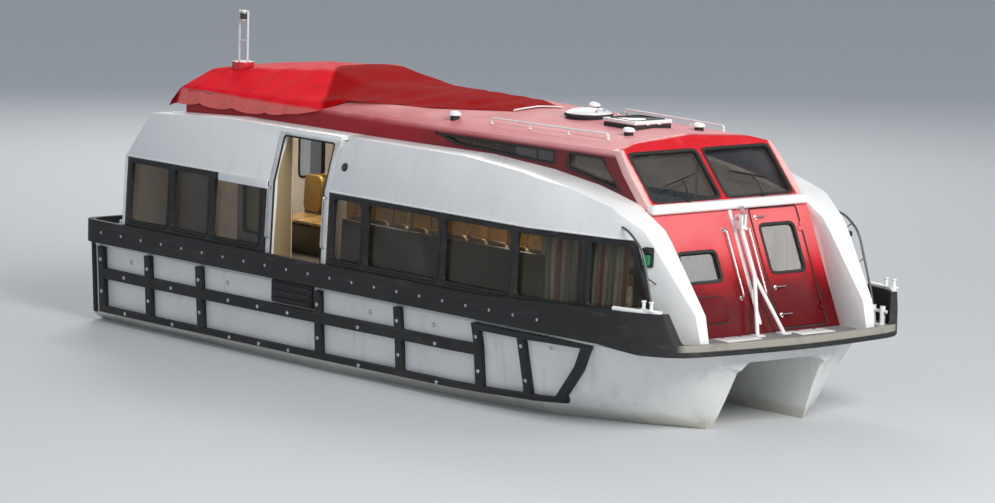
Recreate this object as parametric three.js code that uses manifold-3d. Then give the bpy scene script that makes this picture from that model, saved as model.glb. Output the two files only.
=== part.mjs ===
// Enclosed twin-hull lifeboat and tender for about 150 people, 13.1 m long over its belts.
// Millimetres, +X to the bow, +Y to port, +Z up, origin at the waterline amidships.
import * as THREE from 'three';
import { mergeVertices } from 'three/addons/utils/BufferGeometryUtils.js';
import Module from 'manifold-3d';

const wasm = await Module();
wasm.setup();

// Driving dimensions
const GAP = 0.3;              // joint between two pieces that touch
const CLEAR = 6;              // room around what moves
const WALL = 60;              // sandwich moulding of cabin walls and roof
const SHEER_Z = 1120;         // top edge of the hull
const DECK_TOP = 1210;
const DECK_EDGE = 2250;       // half beam of the deck
const STERN_X = -6600;
const BOW_X = 6320;           // front edge of the deck on the centreline
const TUNNEL_HALF = 720;
const TUNNEL_ROOF = 930;
const BAND_TOP = 2500;        // top of the side windows and foot of the white shoulders
const LEDGE_Z = 3250;         // top of the shoulders beside the door
const CABIN_AFT = -5800;
const AFT_BULKHEAD = -5150;   // recessed aft wall with its door
const AFT_RECESS_HALF = 1150;
const FRONT_RECESS_HALF = 1380;
const DOOR_LOW = -2190;       // side door opening, aft and forward edges
const DOOR_HIGH = -1050;
const DOOR_HEAD = 3140;
const DOOR_POST = 130;
const DOOR_TRACK_Y = 1840;    // inner face of the sliding side doors
const DOOR_THICK = 50;
const GLASS = 8;
const WINDOW_SILL = 1560;
const WINDOW_HEAD = 2440;
const OUTSIDE = 3000;         // beyond either side of the boat
const AHEAD = 7000;           // ahead of the bow
const ASTERN = -7000;         // behind the stern
const ABOVE = 4200;           // above every hatch
const BENEATH = 1000;         // under the deck, where cuts through the cabin start

// Small vector and outline helpers
const X = new THREE.Vector3(1, 0, 0);
const Y = new THREE.Vector3(0, 1, 0);
const Z = new THREE.Vector3(0, 0, 1);

function solid(geometry) {
  const bare = geometry.clone();
  bare.deleteAttribute('normal');
  bare.deleteAttribute('uv');
  const merged = mergeVertices(bare, 1e-3);
  return new wasm.Manifold(new wasm.Mesh({
    numProp: 3,
    vertProperties: Float32Array.from(merged.attributes.position.array),
    triVerts: Uint32Array.from(merged.index.array),
  }));
}

function join(...pieces) {
  return pieces.reduce((whole, piece) => whole.add(piece));
}

function box(low, high) {
  const size = high.map((value, k) => value - low[k]);
  const centre = high.map((value, k) => (value + low[k]) / 2);
  return solid(new THREE.BoxGeometry(...size).translate(...centre));
}

// An outline in two named directions, drawn out along the third
function prism(points, depth, basis, origin = [0, 0, 0]) {
  const outline = points instanceof THREE.Shape
    ? points
    : new THREE.Shape(points.map(([a, b]) => new THREE.Vector2(a, b)));
  const geometry = new THREE.ExtrudeGeometry(outline, { depth, bevelEnabled: false, curveSegments: 8 });
  geometry.applyMatrix4(new THREE.Matrix4().makeBasis(...basis));
  return solid(geometry.translate(...origin));
}

const sidePrism = (points, low = -OUTSIDE, high = OUTSIDE) =>
  prism(points, high - low, [X, Z, Y.clone().negate()], [0, high, 0]);
const planPrism = (points, low, high) => prism(points, high - low, [X, Y, Z], [0, 0, low]);
const crossPrism = (points, low, high) => prism(points, high - low, [Y, Z, X], [low, 0, 0]);

function rod(from, to, radius, sides = 16) {
  const start = new THREE.Vector3(...from);
  const along = new THREE.Vector3(...to).sub(start);
  const geometry = new THREE.CylinderGeometry(radius, radius, along.length(), sides);
  geometry.translate(0, along.length() / 2, 0);
  geometry.applyQuaternion(new THREE.Quaternion().setFromUnitVectors(Y, along.clone().normalize()));
  return solid(geometry.translate(...from));
}

// A closed skin through rings of equal point counts, at rising x, each anticlockwise from ahead
function loft(rings) {
  const count = rings[0].length;
  const index = [];
  for (let ring = 0; ring + 1 < rings.length; ring += 1) {
    for (let k = 0; k < count; k += 1) {
      const a = ring * count + k;
      const b = ring * count + ((k + 1) % count);
      index.push(a, b, a + count, b, b + count, a + count);
    }
  }
  const cap = (ring, offset, flip) => {
    const flat = ring.map(([, y, z]) => new THREE.Vector2(y, z));
    for (const face of THREE.ShapeUtils.triangulateShape(flat, [])) {
      index.push(...(flip ? face.toReversed() : face).map((k) => k + offset));
    }
  };
  cap(rings[0], 0, true);
  cap(rings.at(-1), (rings.length - 1) * count, false);
  const geometry = new THREE.BufferGeometry();
  geometry.setAttribute('position', new THREE.Float32BufferAttribute(rings.flat(2), 3));
  geometry.setIndex(index);
  return solid(geometry);
}

// Port half from outlines listed low to high, starboard half as its mirror image
function twinLoft(rings) {
  const port = loft(rings.map(({ x, half }) => half.map(([y, z]) => [x, y || -1, z])));
  return port.add(mirrored(port));
}

const table = (columns, rows) =>
  rows.map((row) => Object.fromEntries(columns.map((name, k) => [name, row[k]])));

// The row that a table would have at any x, between its own rows
function rowAt(rows, x) {
  const k = Math.max(1, rows.findIndex((row) => row.x >= x));
  const [a, b] = [rows[k - 1], rows[k]];
  const share = (x - a.x) / (b.x - a.x);
  const between = Object.keys(a).map((name) => [name, a[name] + (b[name] - a[name]) * share]);
  return Object.fromEntries(between);
}

// Paints, plastics and metals
const paint = (colour, roughness, metalness = 0) =>
  new THREE.MeshStandardMaterial({ color: colour, roughness, metalness });
const WHITE = paint(0xe6e8e8, 0.4);
const RED = paint(0xd8202a, 0.45);
const FADED_RED = paint(0xe06a70, 0.55);
const BLACK_RUBBER = paint(0x17171a, 0.85);
const DARK_BAND = paint(0x1d1b1c, 0.4);
const DECK_GREY = paint(0x8b8f8c, 0.8);
const TINTED_GLASS = new THREE.MeshStandardMaterial({
  color: 0x2a2e30, roughness: 0.08, transparent: true, opacity: 0.45,
});
const STEEL = paint(0xb9bcbe, 0.3, 1);
const BRONZE = paint(0xa8823f, 0.35, 1);
const BEIGE = paint(0xc9ad72, 0.8);
const ENGINE_GREY = paint(0x5b6166, 0.6);

const boat = new THREE.Group();

function place(name, piece, material) {
  const made = piece.getMesh();
  const geometry = new THREE.BufferGeometry();
  geometry.setAttribute('position', new THREE.BufferAttribute(made.vertProperties, 3));
  geometry.setIndex(new THREE.BufferAttribute(made.triVerts, 1));
  geometry.computeVertexNormals();
  const mesh = new THREE.Mesh(geometry, material);
  mesh.name = name;
  boat.add(mesh);
}

// Both sides from the port piece: the starboard one is its mirror image
function mirrored(piece) {
  const made = piece.getMesh();
  const geometry = new THREE.BufferGeometry();
  geometry.setAttribute('position', new THREE.BufferAttribute(made.vertProperties.slice(), 3));
  geometry.setIndex([...made.triVerts].reverse());
  return solid(geometry.scale(1, -1, 1));
}

function placePair(stem, portPiece, material) {
  place(`${stem}_port`, portPiece, material);
  place(`${stem}_starboard`, mirrored(portPiece), material);
}

// Hull: two slim hulls with upright inner sides, joined over the tunnel. Each row is a frame:
// the flat keel, the turn of the bilge just below the waterline, the chine and the sheer
const HULL = table(
  ['x', 'keelZ', 'keelIn', 'keelOut', 'bilgeY', 'bilgeZ', 'chineY', 'chineZ', 'sheerY'],
  [
    [-6600, -300, 1000, 1500, 1860, -110, 2150, 90, 2200],
    [-5200, -620, 1010, 1470, 1850, -120, 2175, 90, 2235],
    [-4000, -820, 1020, 1450, 1830, -120, 2185, 95, 2250],
    [-800, -900, 1010, 1380, 2000, -110, 2200, 110, 2250],
    [1900, -900, 970, 1280, 1870, -90, 2170, 170, 2250],
    [3600, -840, 910, 1120, 1680, -80, 2080, 260, 2250],
    [4870, -560, 850, 950, 1180, -40, 1850, 470, 2130],
    [5550, -60, 800, 830, 880, 10, 1420, 660, 1800],
    [5800, 450, 745, 790, 1110, 620, 1273, 790, 1590],
    [5970, 790, 725, 770, 1030, 915, 1290, 1040, 1330],
    [6060, 840, 722, 760, 830, 960, 900, 1080, 930],
  ],
);
const TUNNEL_CORNER = { across: 120, down: 80 };
const hullRing = (row, out = 0) => ({ x: row.x, half: [
  [0, TUNNEL_ROOF], [TUNNEL_HALF - TUNNEL_CORNER.across, TUNNEL_ROOF],
  [TUNNEL_HALF, TUNNEL_ROOF - TUNNEL_CORNER.down], [row.keelIn, row.keelZ],
  [row.keelOut + out, row.keelZ], [row.bilgeY + out, row.bilgeZ], [row.chineY + out, row.chineZ],
  [row.sheerY + out, SHEER_Z], [0, SHEER_Z],
] });
const hullBlock = twinLoft(HULL.map((row) => hullRing(row)));
// The hold inside each hull, open at the sheer and closed by a bulkhead forward
const SKIN = 70;
const HOLD_RISE = { keel: 10, bilge: 30, chine: 20, sheer: 5 };
const HOLD_END = 4700;
const holdRing = (row) => [
  [row.keelIn + SKIN, row.keelZ + SKIN], [row.keelOut - HOLD_RISE.keel, row.keelZ + SKIN],
  [row.bilgeY - SKIN, row.bilgeZ + HOLD_RISE.bilge], [row.chineY - SKIN, row.chineZ + HOLD_RISE.chine],
  [row.sheerY - SKIN, SHEER_Z + HOLD_RISE.sheer], [TUNNEL_HALF + SKIN, SHEER_Z + HOLD_RISE.sheer],
].map(([y, z]) => [row.x, y, z]);
const holdRows = [rowAt(HULL, STERN_X + SKIN), ...HULL.slice(1, 6), rowAt(HULL, HOLD_END)];
const hold = loft(holdRows.map(holdRing));

const PROP = { x: -5880, y: 1240, z: -730, radius: 220, hub: 55 };
const RUDDER = { x: -6270, blade: -450, tip: -930, stock: 25, stockTop: -120 };
const BORE_ROOM = 0.5;
const rudderBore = rod(
  [RUDDER.x, PROP.y, RUDDER.tip], [RUDDER.x, PROP.y, RUDDER.stockTop + 220], RUDDER.stock + BORE_ROOM, 24);
const hull = hullBlock.subtract(hold).subtract(mirrored(hold))
  .subtract(rudderBore).subtract(mirrored(rudderBore));
place('hull', hull, WHITE);

// Deck moulding, with the square bow platform and its rounded corners
const STERN_CORNER = 220;
const PLATFORM = {
  straightTo: 4500, pullX: 5300, cornerX: 6080, cornerY: 2180, frontX: 6170, frontY: 1650, flatY: 700,
};
function deckOutline(out = 0) {
  const side = DECK_EDGE + out;
  const stern = STERN_X - out;
  const bow = BOW_X + out;
  const corner = [PLATFORM.cornerX + out, PLATFORM.cornerY + out];
  const front = PLATFORM.frontX + out;
  const outline = new THREE.Shape();
  outline.moveTo(stern, -side + STERN_CORNER);
  outline.quadraticCurveTo(stern, -side, STERN_X + STERN_CORNER, -side);
  outline.lineTo(PLATFORM.straightTo, -side);
  outline.bezierCurveTo(PLATFORM.pullX, -side, corner[0], -corner[1], front, -PLATFORM.frontY);
  outline.quadraticCurveTo(bow, -PLATFORM.flatY, bow, 0);
  outline.quadraticCurveTo(bow, PLATFORM.flatY, front, PLATFORM.frontY);
  outline.bezierCurveTo(...corner, PLATFORM.pullX, side, PLATFORM.straightTo, side);
  outline.lineTo(STERN_X + STERN_CORNER, side);
  outline.quadraticCurveTo(stern, side, stern, side - STERN_CORNER);
  return outline;
}
place('deck', planPrism(deckOutline(), SHEER_Z + GAP, DECK_TOP), DECK_GREY);

// Black rubber belt round the deck edge, a low bulwark along the foredeck
const BELT = { thick: 90, foot: 1170, top: 1500, bowFoot: 1100, bowTop: 1260, bulwark: 1660 };
const BELT_ENDS = [STERN_X - 200, BOW_X + 280];
const beltBand = planPrism(deckOutline(BELT.thick), BENEATH, BELT.bulwark + 100)
  .subtract(planPrism(deckOutline(GAP), BENEATH - 10, BELT.bulwark + 110));
const beltSide = sidePrism([
  [BELT_ENDS[0], BELT.foot], [5000, BELT.foot], [5700, BELT.bowFoot], [BELT_ENDS[1], BELT.bowFoot],
  [BELT_ENDS[1], BELT.bowTop], [6120, BELT.bowTop], [6000, BELT.bulwark], [5200, BELT.bulwark - 20],
  [2500, BELT.top], [BELT_ENDS[0], BELT.top],
], GAP, OUTSIDE);
placePair('gunwale_belt', beltBand.intersect(beltSide), BLACK_RUBBER);

// Fender grid on each side of the hull: uprights between a low, a middle and a short upper bar
const FENDER = { proud: 80, upright: 130, low: 90, middle: 150, foot: 190 };
const UPRIGHTS = [-6300, -5090, -3810, -1010, 780, 2470, 3420];
const fenderSkin = twinLoft(HULL.slice(0, 8).map((row) => hullRing(row, FENDER.proud)))
  .subtract(twinLoft(HULL.slice(0, 8).map((row) => hullRing(row, GAP))));
const OUTBOARD = 1500;         // side walls, frames and fenders lie further out than this
const level = (points, height) =>
  sidePrism([...points, ...points.toReversed().map(([x, z]) => [x, z + height])], OUTBOARD, OUTSIDE);
const uprightAt = (x) => box(
  [x - FENDER.upright / 2, OUTBOARD, FENDER.foot], [x + FENDER.upright / 2, OUTSIDE, SHEER_Z - 1]);
const fenderBars = join(
  level([[-6365, 150], [2500, 170], [3970, 210]], FENDER.low),
  level([[-6365, 650], [2535, 680]], FENDER.middle),
  level([[2405, 1030], [4700, 1040]], FENDER.low),
  ...UPRIGHTS.map(uprightAt),
  sidePrism([[3870, 240], [4000, 240], [4750, SHEER_Z - 1], [4610, SHEER_Z - 1]], OUTBOARD, OUTSIDE),
);
placePair('fender_grid', fenderSkin.intersect(fenderBars), BLACK_RUBBER);

// Cabin volume: lower body with the shoulders, and the narrower trunk above it
const BODY = table(
  ['x', 'foot', 'band', 'top'],
  [
    [-5900, 2249, 2200, 1960],
    [3400, 2249, 2200, 1950],
    [4800, 1990, 1920, 1760],
    [5210, 1810, 1750, 1630],
    [6200, 1510, 1500, 1480],
  ],
);
const BODY_SIDE = [
  [CABIN_AFT, DECK_TOP], [CABIN_AFT, BAND_TOP], [-5420, 3150], [-3600, LEDGE_Z], [1800, LEDGE_Z + 20],
  [3000, 3190], [3900, 3070], [4700, 2890], [5220, 2620], [5370, 2460], [6060, 1600], [6150, DECK_TOP],
];
const TRUNK = table(
  ['x', 'foot', 'edge', 'edgeZ', 'bend', 'bendZ', 'crownZ'],
  [
    [-5600, 1600, 1560, 3500, 1150, 3640, 3730],
    [-500, 1600, 1560, 3520, 1150, 3660, 3750],
    [4150, 1375, 1325, 3540, 1000, 3620, 3680],
    [5800, 1350, 1300, 3540, 1000, 3620, 3680],
  ],
);
const SILL = { x: 4870, z: 2840 };
const FRONT_FOOT = { x: 5630, z: DECK_TOP };
const BROW = { x: 4130, z: 3640 };

// The same volumes drawn in by a wall thickness give the room inside
const TUMBLE_Z = 1500;         // the side walls lean in above this
const BODY_TOP = 3400;
const bodyLoft = (inset) => twinLoft(BODY.map((row) => ({ x: row.x, half: [
  [0, DECK_TOP - inset - 1], [row.foot - inset, DECK_TOP - inset - 1], [row.foot - inset, TUMBLE_Z],
  [row.band - inset, BAND_TOP], [row.top - inset, BODY_TOP], [0, BODY_TOP],
] })));
const trunkLoft = (inset) => twinLoft(TRUNK.map((row) => ({ x: row.x, half: [
  [0, DECK_TOP - inset - 1], [row.foot - inset, DECK_TOP - inset - 1], [row.foot - inset, LEDGE_Z],
  [row.edge - inset, row.edgeZ - inset * 0.6], [row.bend - inset * 0.4, row.bendZ - inset],
  [0, row.crownZ - inset],
] })));
function insetSide(inset) {
  const slope = inset * 1.2;
  return BODY_SIDE.map(([x, z], k) => {
    if (z === DECK_TOP) return [x + (x < 0 ? inset : -inset), DECK_TOP - inset - 5];
    if (k < 3) return [x + inset, z - (k === 1 ? inset * 0.4 : inset)];
    return x > 5000 ? [x - slope, z - inset * 0.3] : [x, z - inset];
  });
}
const trunkSide = (inset) => sidePrism([
  [AFT_BULKHEAD + inset, DECK_TOP - inset - 3], [AFT_BULKHEAD + inset, ABOVE], [BROW.x - inset, ABOVE],
  [BROW.x - inset, BROW.z - inset * 0.2], [SILL.x - inset * 1.2, SILL.z - inset * 0.3],
  [FRONT_FOOT.x - inset * 1.1, FRONT_FOOT.z - inset - 3],
]);
const frontRecess = (inset) => sidePrism([
  [SILL.x - inset * 1.2, ABOVE], [SILL.x - inset * 1.2, SILL.z - inset * 0.3],
  [FRONT_FOOT.x - inset * 1.1, FRONT_FOOT.z], [FRONT_FOOT.x - inset * 1.1, BENEATH], [AHEAD, BENEATH],
  [AHEAD, ABOVE],
], -FRONT_RECESS_HALF - inset, FRONT_RECESS_HALF + inset);
const aftRecess = (inset) =>
  box([ASTERN, -AFT_RECESS_HALF - inset, BENEATH], [AFT_BULKHEAD + inset, AFT_RECESS_HALF + inset, ABOVE]);
function cabinVolume(inset) {
  const body = bodyLoft(inset).intersect(sidePrism(insetSide(inset)))
    .subtract(frontRecess(inset)).subtract(aftRecess(inset));
  return body.add(trunkLoft(inset).intersect(trunkSide(inset)));
}
const aboveDeck = box([ASTERN, -OUTSIDE, DECK_TOP + GAP], [AHEAD, OUTSIDE, ABOVE + 600]);
const cabinShell = cabinVolume(0).subtract(cabinVolume(WALL)).intersect(aboveDeck);
const frameLow = DOOR_LOW - DOOR_POST;
const frameHigh = DOOR_HIGH + DOOR_POST;
const sideDoorHole = box([frameLow - GAP, OUTBOARD, BENEATH], [frameHigh + GAP, OUTSIDE, DOOR_HEAD + 50]);

// Side walls with the dark window band, one moulding from the stern to the foredeck
const CORNER_AFT = -5739;      // outer corner of the side walls at the stern
const AFT_WINDOWS = [[-5650, -4690], [-4600, -3720], [-3620, -2480]];
const FORWARD_WINDOWS = [[-820, -150], [-50, 1550], [1650, 3080], [3180, 4330]];
const BAND_FRONT = [[5600, DECK_TOP], [5130, BAND_TOP]];
const bandOutline = [
  [CORNER_AFT, DECK_TOP], BAND_FRONT[0], [BAND_FRONT[1][0], BAND_TOP - GAP], [CORNER_AFT, BAND_TOP - GAP],
];
const windowHole = ([low, high]) => box([low, OUTBOARD, WINDOW_SILL], [high, OUTSIDE, WINDOW_HEAD]);
const rakedWindow = sidePrism([
  [4430, WINDOW_SILL], [5400, WINDOW_SILL + 60], [5080, WINDOW_HEAD], [4430, WINDOW_HEAD],
], OUTBOARD, OUTSIDE);
const windows = join(...[...AFT_WINDOWS, ...FORWARD_WINDOWS].map(windowHole), rakedWindow);
const sideWall = cabinShell.intersect(sidePrism(bandOutline, OUTBOARD - 10, OUTSIDE))
  .subtract(windows).subtract(sideDoorHole);
const BAND_JOINT = 3130;
const WALL_PANELS = {
  aft: [ASTERN, DOOR_LOW],
  forward: [DOOR_HIGH, BAND_JOINT],
  bow: [BAND_JOINT + GAP, AHEAD],
};
for (const [name, [low, high]] of Object.entries(WALL_PANELS)) {
  const panel = sideWall.intersect(box([low, 0, BENEATH], [high, OUTSIDE, ABOVE]));
  placePair(`side_wall_${name}`, panel, DARK_BAND);
}

// Glass sheets bedded inside the window band
const sheet = bodyLoft(WALL + GAP).subtract(bodyLoft(WALL + GAP + GLASS));
const BEDDING = 50;            // how far the glass runs past its hole
const glassBetween = (low, foot, head) => sheet.intersect(sidePrism([
  [low, WINDOW_SILL - BEDDING], [foot, WINDOW_SILL - BEDDING],
  [head, WINDOW_HEAD + BEDDING], [low, WINDOW_HEAD + BEDDING],
], OUTBOARD - 100, OUTSIDE));
placePair('side_glass_aft', glassBetween(-5700, -2400, -2400), TINTED_GLASS);
placePair('side_glass_forward', glassBetween(-880, 5450, 5110), TINTED_GLASS);

// White aft shoulders with the lintel over the side door
const belowRoof = sidePrism(BODY_SIDE, AFT_RECESS_HALF + WALL + 1, OUTSIDE);
const WING_AFT = frameHigh + 1;
const shoulder = cabinShell.intersect(belowRoof)
  .intersect(box([CORNER_AFT, 0, BAND_TOP], [WING_AFT - 1, OUTSIDE, ABOVE]));
placePair('shoulder_aft', shoulder.subtract(sideDoorHole), WHITE);

// White forward wings, from the side door to their feet on the foredeck
const wingOutline = [
  [WING_AFT, BAND_TOP], [BAND_FRONT[1][0] + GAP, BAND_TOP], [BAND_FRONT[0][0] + GAP, DECK_TOP],
  [AHEAD, DECK_TOP], [AHEAD, ABOVE], [WING_AFT, ABOVE],
];
const wing = cabinShell.intersect(belowRoof).intersect(sidePrism(wingOutline)).subtract(sideDoorHole);
const FRONT_JOINT = 4640;      // the roof ends here and the red front begins
const wingInboard = box([FRONT_JOINT, 0, BENEATH], [AHEAD, FRONT_RECESS_HALF + GAP, ABOVE]);

// Beside the door the wing's upper corner is rounded off, and a cheek of the door frame closes it
const WING_CORNER = 350;
const cornerTop = rowAt(BODY_SIDE.map(([x, z]) => ({ x, z })), WING_AFT).z;
const roundedCorner = new THREE.Shape();
roundedCorner.moveTo(WING_AFT - 10, cornerTop - WING_CORNER);
roundedCorner.lineTo(WING_AFT, cornerTop - WING_CORNER);
roundedCorner.absarc(
  WING_AFT + WING_CORNER, cornerTop - WING_CORNER, WING_CORNER, Math.PI, Math.PI / 2, true);
roundedCorner.lineTo(WING_AFT + WING_CORNER, ABOVE);
roundedCorner.lineTo(WING_AFT - 10, ABOVE);
const FRAME_IN = DOOR_TRACK_Y + DOOR_THICK + CLEAR;
const cornerCut = sidePrism(roundedCorner, FRAME_IN, OUTSIDE);
placePair('wing', wing.subtract(wingInboard).subtract(cornerCut), WHITE);

// Door frames: white posts and head filling the wall out to the sliding door's plane
const doorPosts = box([frameLow, FRAME_IN, DECK_TOP + GAP], [frameHigh, OUTSIDE, LEDGE_Z - WALL - GAP])
  .subtract(box([DOOR_LOW, 0, BENEATH], [DOOR_HIGH, OUTSIDE + 10, DOOR_HEAD]))
  .intersect(bodyLoft(0));
const CHEEK = { thick: 40, foot: cornerTop - WING_CORNER - 60, forward: WING_AFT + WING_CORNER + 30 };
const cheek = box(
  [frameHigh - 10, FRAME_IN, CHEEK.foot], [CHEEK.forward, FRAME_IN + CHEEK.thick, LEDGE_Z - WALL - GAP]);

// The top rail is a channel that the door's upper edge hangs in, and the floor rail is a low bar
const RAIL = { low: -3560, high: -900, lip: 20, depth: 40, floor: 10 };
const railBox = (low, high, z0, z1) => box([RAIL.low, low, z0], [RAIL.high, high, z1]);
const railIn = DOOR_TRACK_Y - RAIL.depth;
const railOut = FRAME_IN + RAIL.lip;
const topRail = join(
  railBox(railIn, railOut, DOOR_HEAD + RAIL.lip + 5, LEDGE_Z - WALL - GAP),
  railBox(railIn, railIn + RAIL.lip, DOOR_HEAD - RAIL.lip, DOOR_HEAD + RAIL.depth),
);
const floorRail = railBox(DOOR_TRACK_Y, railOut, DECK_TOP + GAP, DECK_TOP + RAIL.floor);
placePair('door_frame', join(doorPosts, cheek, topRail, floorRail), WHITE);

// Sliding doors, each with a window and two shoes that run on the floor rail
const SIDE_DOOR = { low: -3480, high: -2240, bottom: DECK_TOP + 16, top: DOOR_HEAD + 15, border: 150 };
const SHOE = { from: 100, to: 300, bottom: DECK_TOP + RAIL.floor + 0.8, top: 1300 };
const doorSlice = (x0, x1, z0, z1) => box([x0, DOOR_TRACK_Y, z0], [x1, DOOR_TRACK_Y + DOOR_THICK, z1]);
const sideDoor = join(
  doorSlice(SIDE_DOOR.low, SIDE_DOOR.high, SIDE_DOOR.bottom, SIDE_DOOR.top),
  doorSlice(SIDE_DOOR.low + SHOE.from, SIDE_DOOR.low + SHOE.to, SHOE.bottom, SHOE.top),
  doorSlice(SIDE_DOOR.high - SHOE.to, SIDE_DOOR.high - SHOE.from, SHOE.bottom, SHOE.top),
).subtract(box(
  [SIDE_DOOR.low + SIDE_DOOR.border, OUTBOARD, WINDOW_SILL + 100],
  [SIDE_DOOR.high - SIDE_DOOR.border, OUTSIDE, WINDOW_HEAD]));
placePair('side_door', sideDoor, WHITE);

// A hinge: knuckles on the leaf and on its frame, end to end on one axis
const KNUCKLE = 14;
const KNUCKLE_LENGTH = 60;
const HINGE_OUT = KNUCKLE + 3;
function hingeKnuckles(start, along, places) {
  const length = KNUCKLE_LENGTH;
  const at = (s) => start.map((value, k) => value + along[k] * s);
  const leaf = join(...places.map((s) => rod(at(s), at(s + length), KNUCKLE, 12)));
  const frame = join(...places.map((s) => rod(at(s + length + 0.5), at(s + 2 * length), KNUCKLE, 12)));
  return { leaf, frame };
}

// Recessed aft bulkhead with its hinged door
const AFT_DOOR = { low: 280, high: 1020, bottom: 1260, top: 3090, thick: 45 };
const AFT_DOOR_WINDOW = { low: 420, high: 880, bottom: 2100, top: 2800 };
const AFT_KNUCKLES = [1500, 2700];
const PAD = { proud: 22, deep: 10, wide: 40 };
const aftCheeks = join(
  box([ASTERN, -OUTSIDE, 0], [CORNER_AFT - GAP, OUTSIDE, BAND_TOP + 200]),
  box([CABIN_AFT, -AFT_RECESS_HALF - WALL + GAP, 0],
    [AFT_BULKHEAD + WALL + 10, AFT_RECESS_HALF + WALL - GAP, LEDGE_Z - GAP]),
);
const aftHinge = hingeKnuckles([AFT_BULKHEAD - HINGE_OUT, AFT_DOOR.high + 3, 0], [0, 0, 1], AFT_KNUCKLES);
const aftDoorHole = box(
  [AFT_BULKHEAD - 20, AFT_DOOR.low - CLEAR, AFT_DOOR.bottom - CLEAR],
  [AFT_BULKHEAD + 200, AFT_DOOR.high + CLEAR, AFT_DOOR.top + CLEAR]);
const aftPad = (y0, y1, z) => box(
  [AFT_BULKHEAD - PAD.proud, y0, z], [AFT_BULKHEAD + PAD.deep, y1, z + KNUCKLE_LENGTH]);
const aftWall = cabinShell.intersect(aftCheeks).intersect(sidePrism(BODY_SIDE)).subtract(aftDoorHole)
  .add(aftHinge.frame)
  .add(join(...AFT_KNUCKLES.map((z) =>
    aftPad(AFT_DOOR.high + CLEAR + 1, AFT_DOOR.high + PAD.wide, z + KNUCKLE_LENGTH + 0.5))));
place('aft_wall', aftWall, WHITE);
const aftDoor = box(
  [AFT_BULKHEAD, AFT_DOOR.low, AFT_DOOR.bottom], [AFT_BULKHEAD + AFT_DOOR.thick, AFT_DOOR.high, AFT_DOOR.top])
  .subtract(box(
    [AFT_BULKHEAD - 10, AFT_DOOR_WINDOW.low, AFT_DOOR_WINDOW.bottom],
    [AFT_BULKHEAD + 100, AFT_DOOR_WINDOW.high, AFT_DOOR_WINDOW.top]))
  .add(aftHinge.leaf)
  .add(join(...AFT_KNUCKLES.map((z) => aftPad(AFT_DOOR.high - 60, AFT_DOOR.high, z))));
place('aft_door', aftDoor, WHITE);

// Raked front: plane coordinates across, up the slope and outward
const slopeUp = new THREE.Vector3(SILL.x - FRONT_FOOT.x, 0, SILL.z - FRONT_FOOT.z).normalize();
const slopeOut = Y.clone().cross(slopeUp);
const onFront = (u, v, w) => [
  FRONT_FOOT.x + slopeUp.x * v + slopeOut.x * w, u, FRONT_FOOT.z + slopeUp.z * v + slopeOut.z * w,
];
const facePlate = (low, high, bottom, top, inside, outside) => prism(
  [[low, bottom], [high, bottom], [high, top], [low, top]], outside - inside,
  [Y, slopeUp, slopeOut], onFront(0, 0, inside));
const FRONT_DOOR = { low: 350, high: 1150, bottom: 60, top: 1690, thick: 45 };
const DOOR_PANE = { low: 440, high: 1050, bottom: 800, top: 1480 };
const STARBOARD_PANE = { low: -1080, high: -430, bottom: 760, top: 1180 };
const pane = (size, inside, outside, shrink = 0) => facePlate(
  size.low + shrink, size.high - shrink, size.bottom + shrink, size.top - shrink, inside, outside);
const THROUGH = [-120, 30];    // from inside the wall to outside it
const FRONT_KNUCKLES = [250, 1350];
const frontHinge = hingeKnuckles(
  onFront(FRONT_DOOR.high + 3, 0, HINGE_OUT), slopeUp.toArray(), FRONT_KNUCKLES);
const frontPad = (low, high, v) => facePlate(low, high, v, v + KNUCKLE_LENGTH, -PAD.deep, PAD.proud);
const frontBox = box(
  [FRONT_JOINT + 1, -FRONT_RECESS_HALF, DECK_TOP], [AHEAD, FRONT_RECESS_HALF, SILL.z - GAP]);
const frontWall = cabinShell.intersect(frontBox)
  .subtract(facePlate(FRONT_DOOR.low - CLEAR, FRONT_DOOR.high + CLEAR, FRONT_DOOR.bottom - CLEAR,
    FRONT_DOOR.top + CLEAR, ...THROUGH))
  .subtract(pane(STARBOARD_PANE, ...THROUGH))
  .add(frontHinge.frame)
  .add(join(...FRONT_KNUCKLES.map((v) =>
    frontPad(FRONT_DOOR.high + CLEAR + 1, FRONT_DOOR.high + PAD.wide, v + KNUCKLE_LENGTH + 0.5))));
place('front_wall', frontWall, RED);
const PANE_DEPTH = { window: 40, door: 30 };
place('front_window_glass',
  pane(STARBOARD_PANE, -PANE_DEPTH.window, GLASS - PANE_DEPTH.window, GAP), TINTED_GLASS);
const frontDoor = pane(FRONT_DOOR, -FRONT_DOOR.thick, 0).subtract(pane(DOOR_PANE, ...THROUGH))
  .add(frontHinge.leaf)
  .add(join(...FRONT_KNUCKLES.map((v) => frontPad(FRONT_DOOR.high - 50, FRONT_DOOR.high, v))));
place('front_door', frontDoor, RED);
place('front_door_glass', pane(DOOR_PANE, -PANE_DEPTH.door, GLASS - PANE_DEPTH.door, GAP), TINTED_GLASS);

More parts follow.
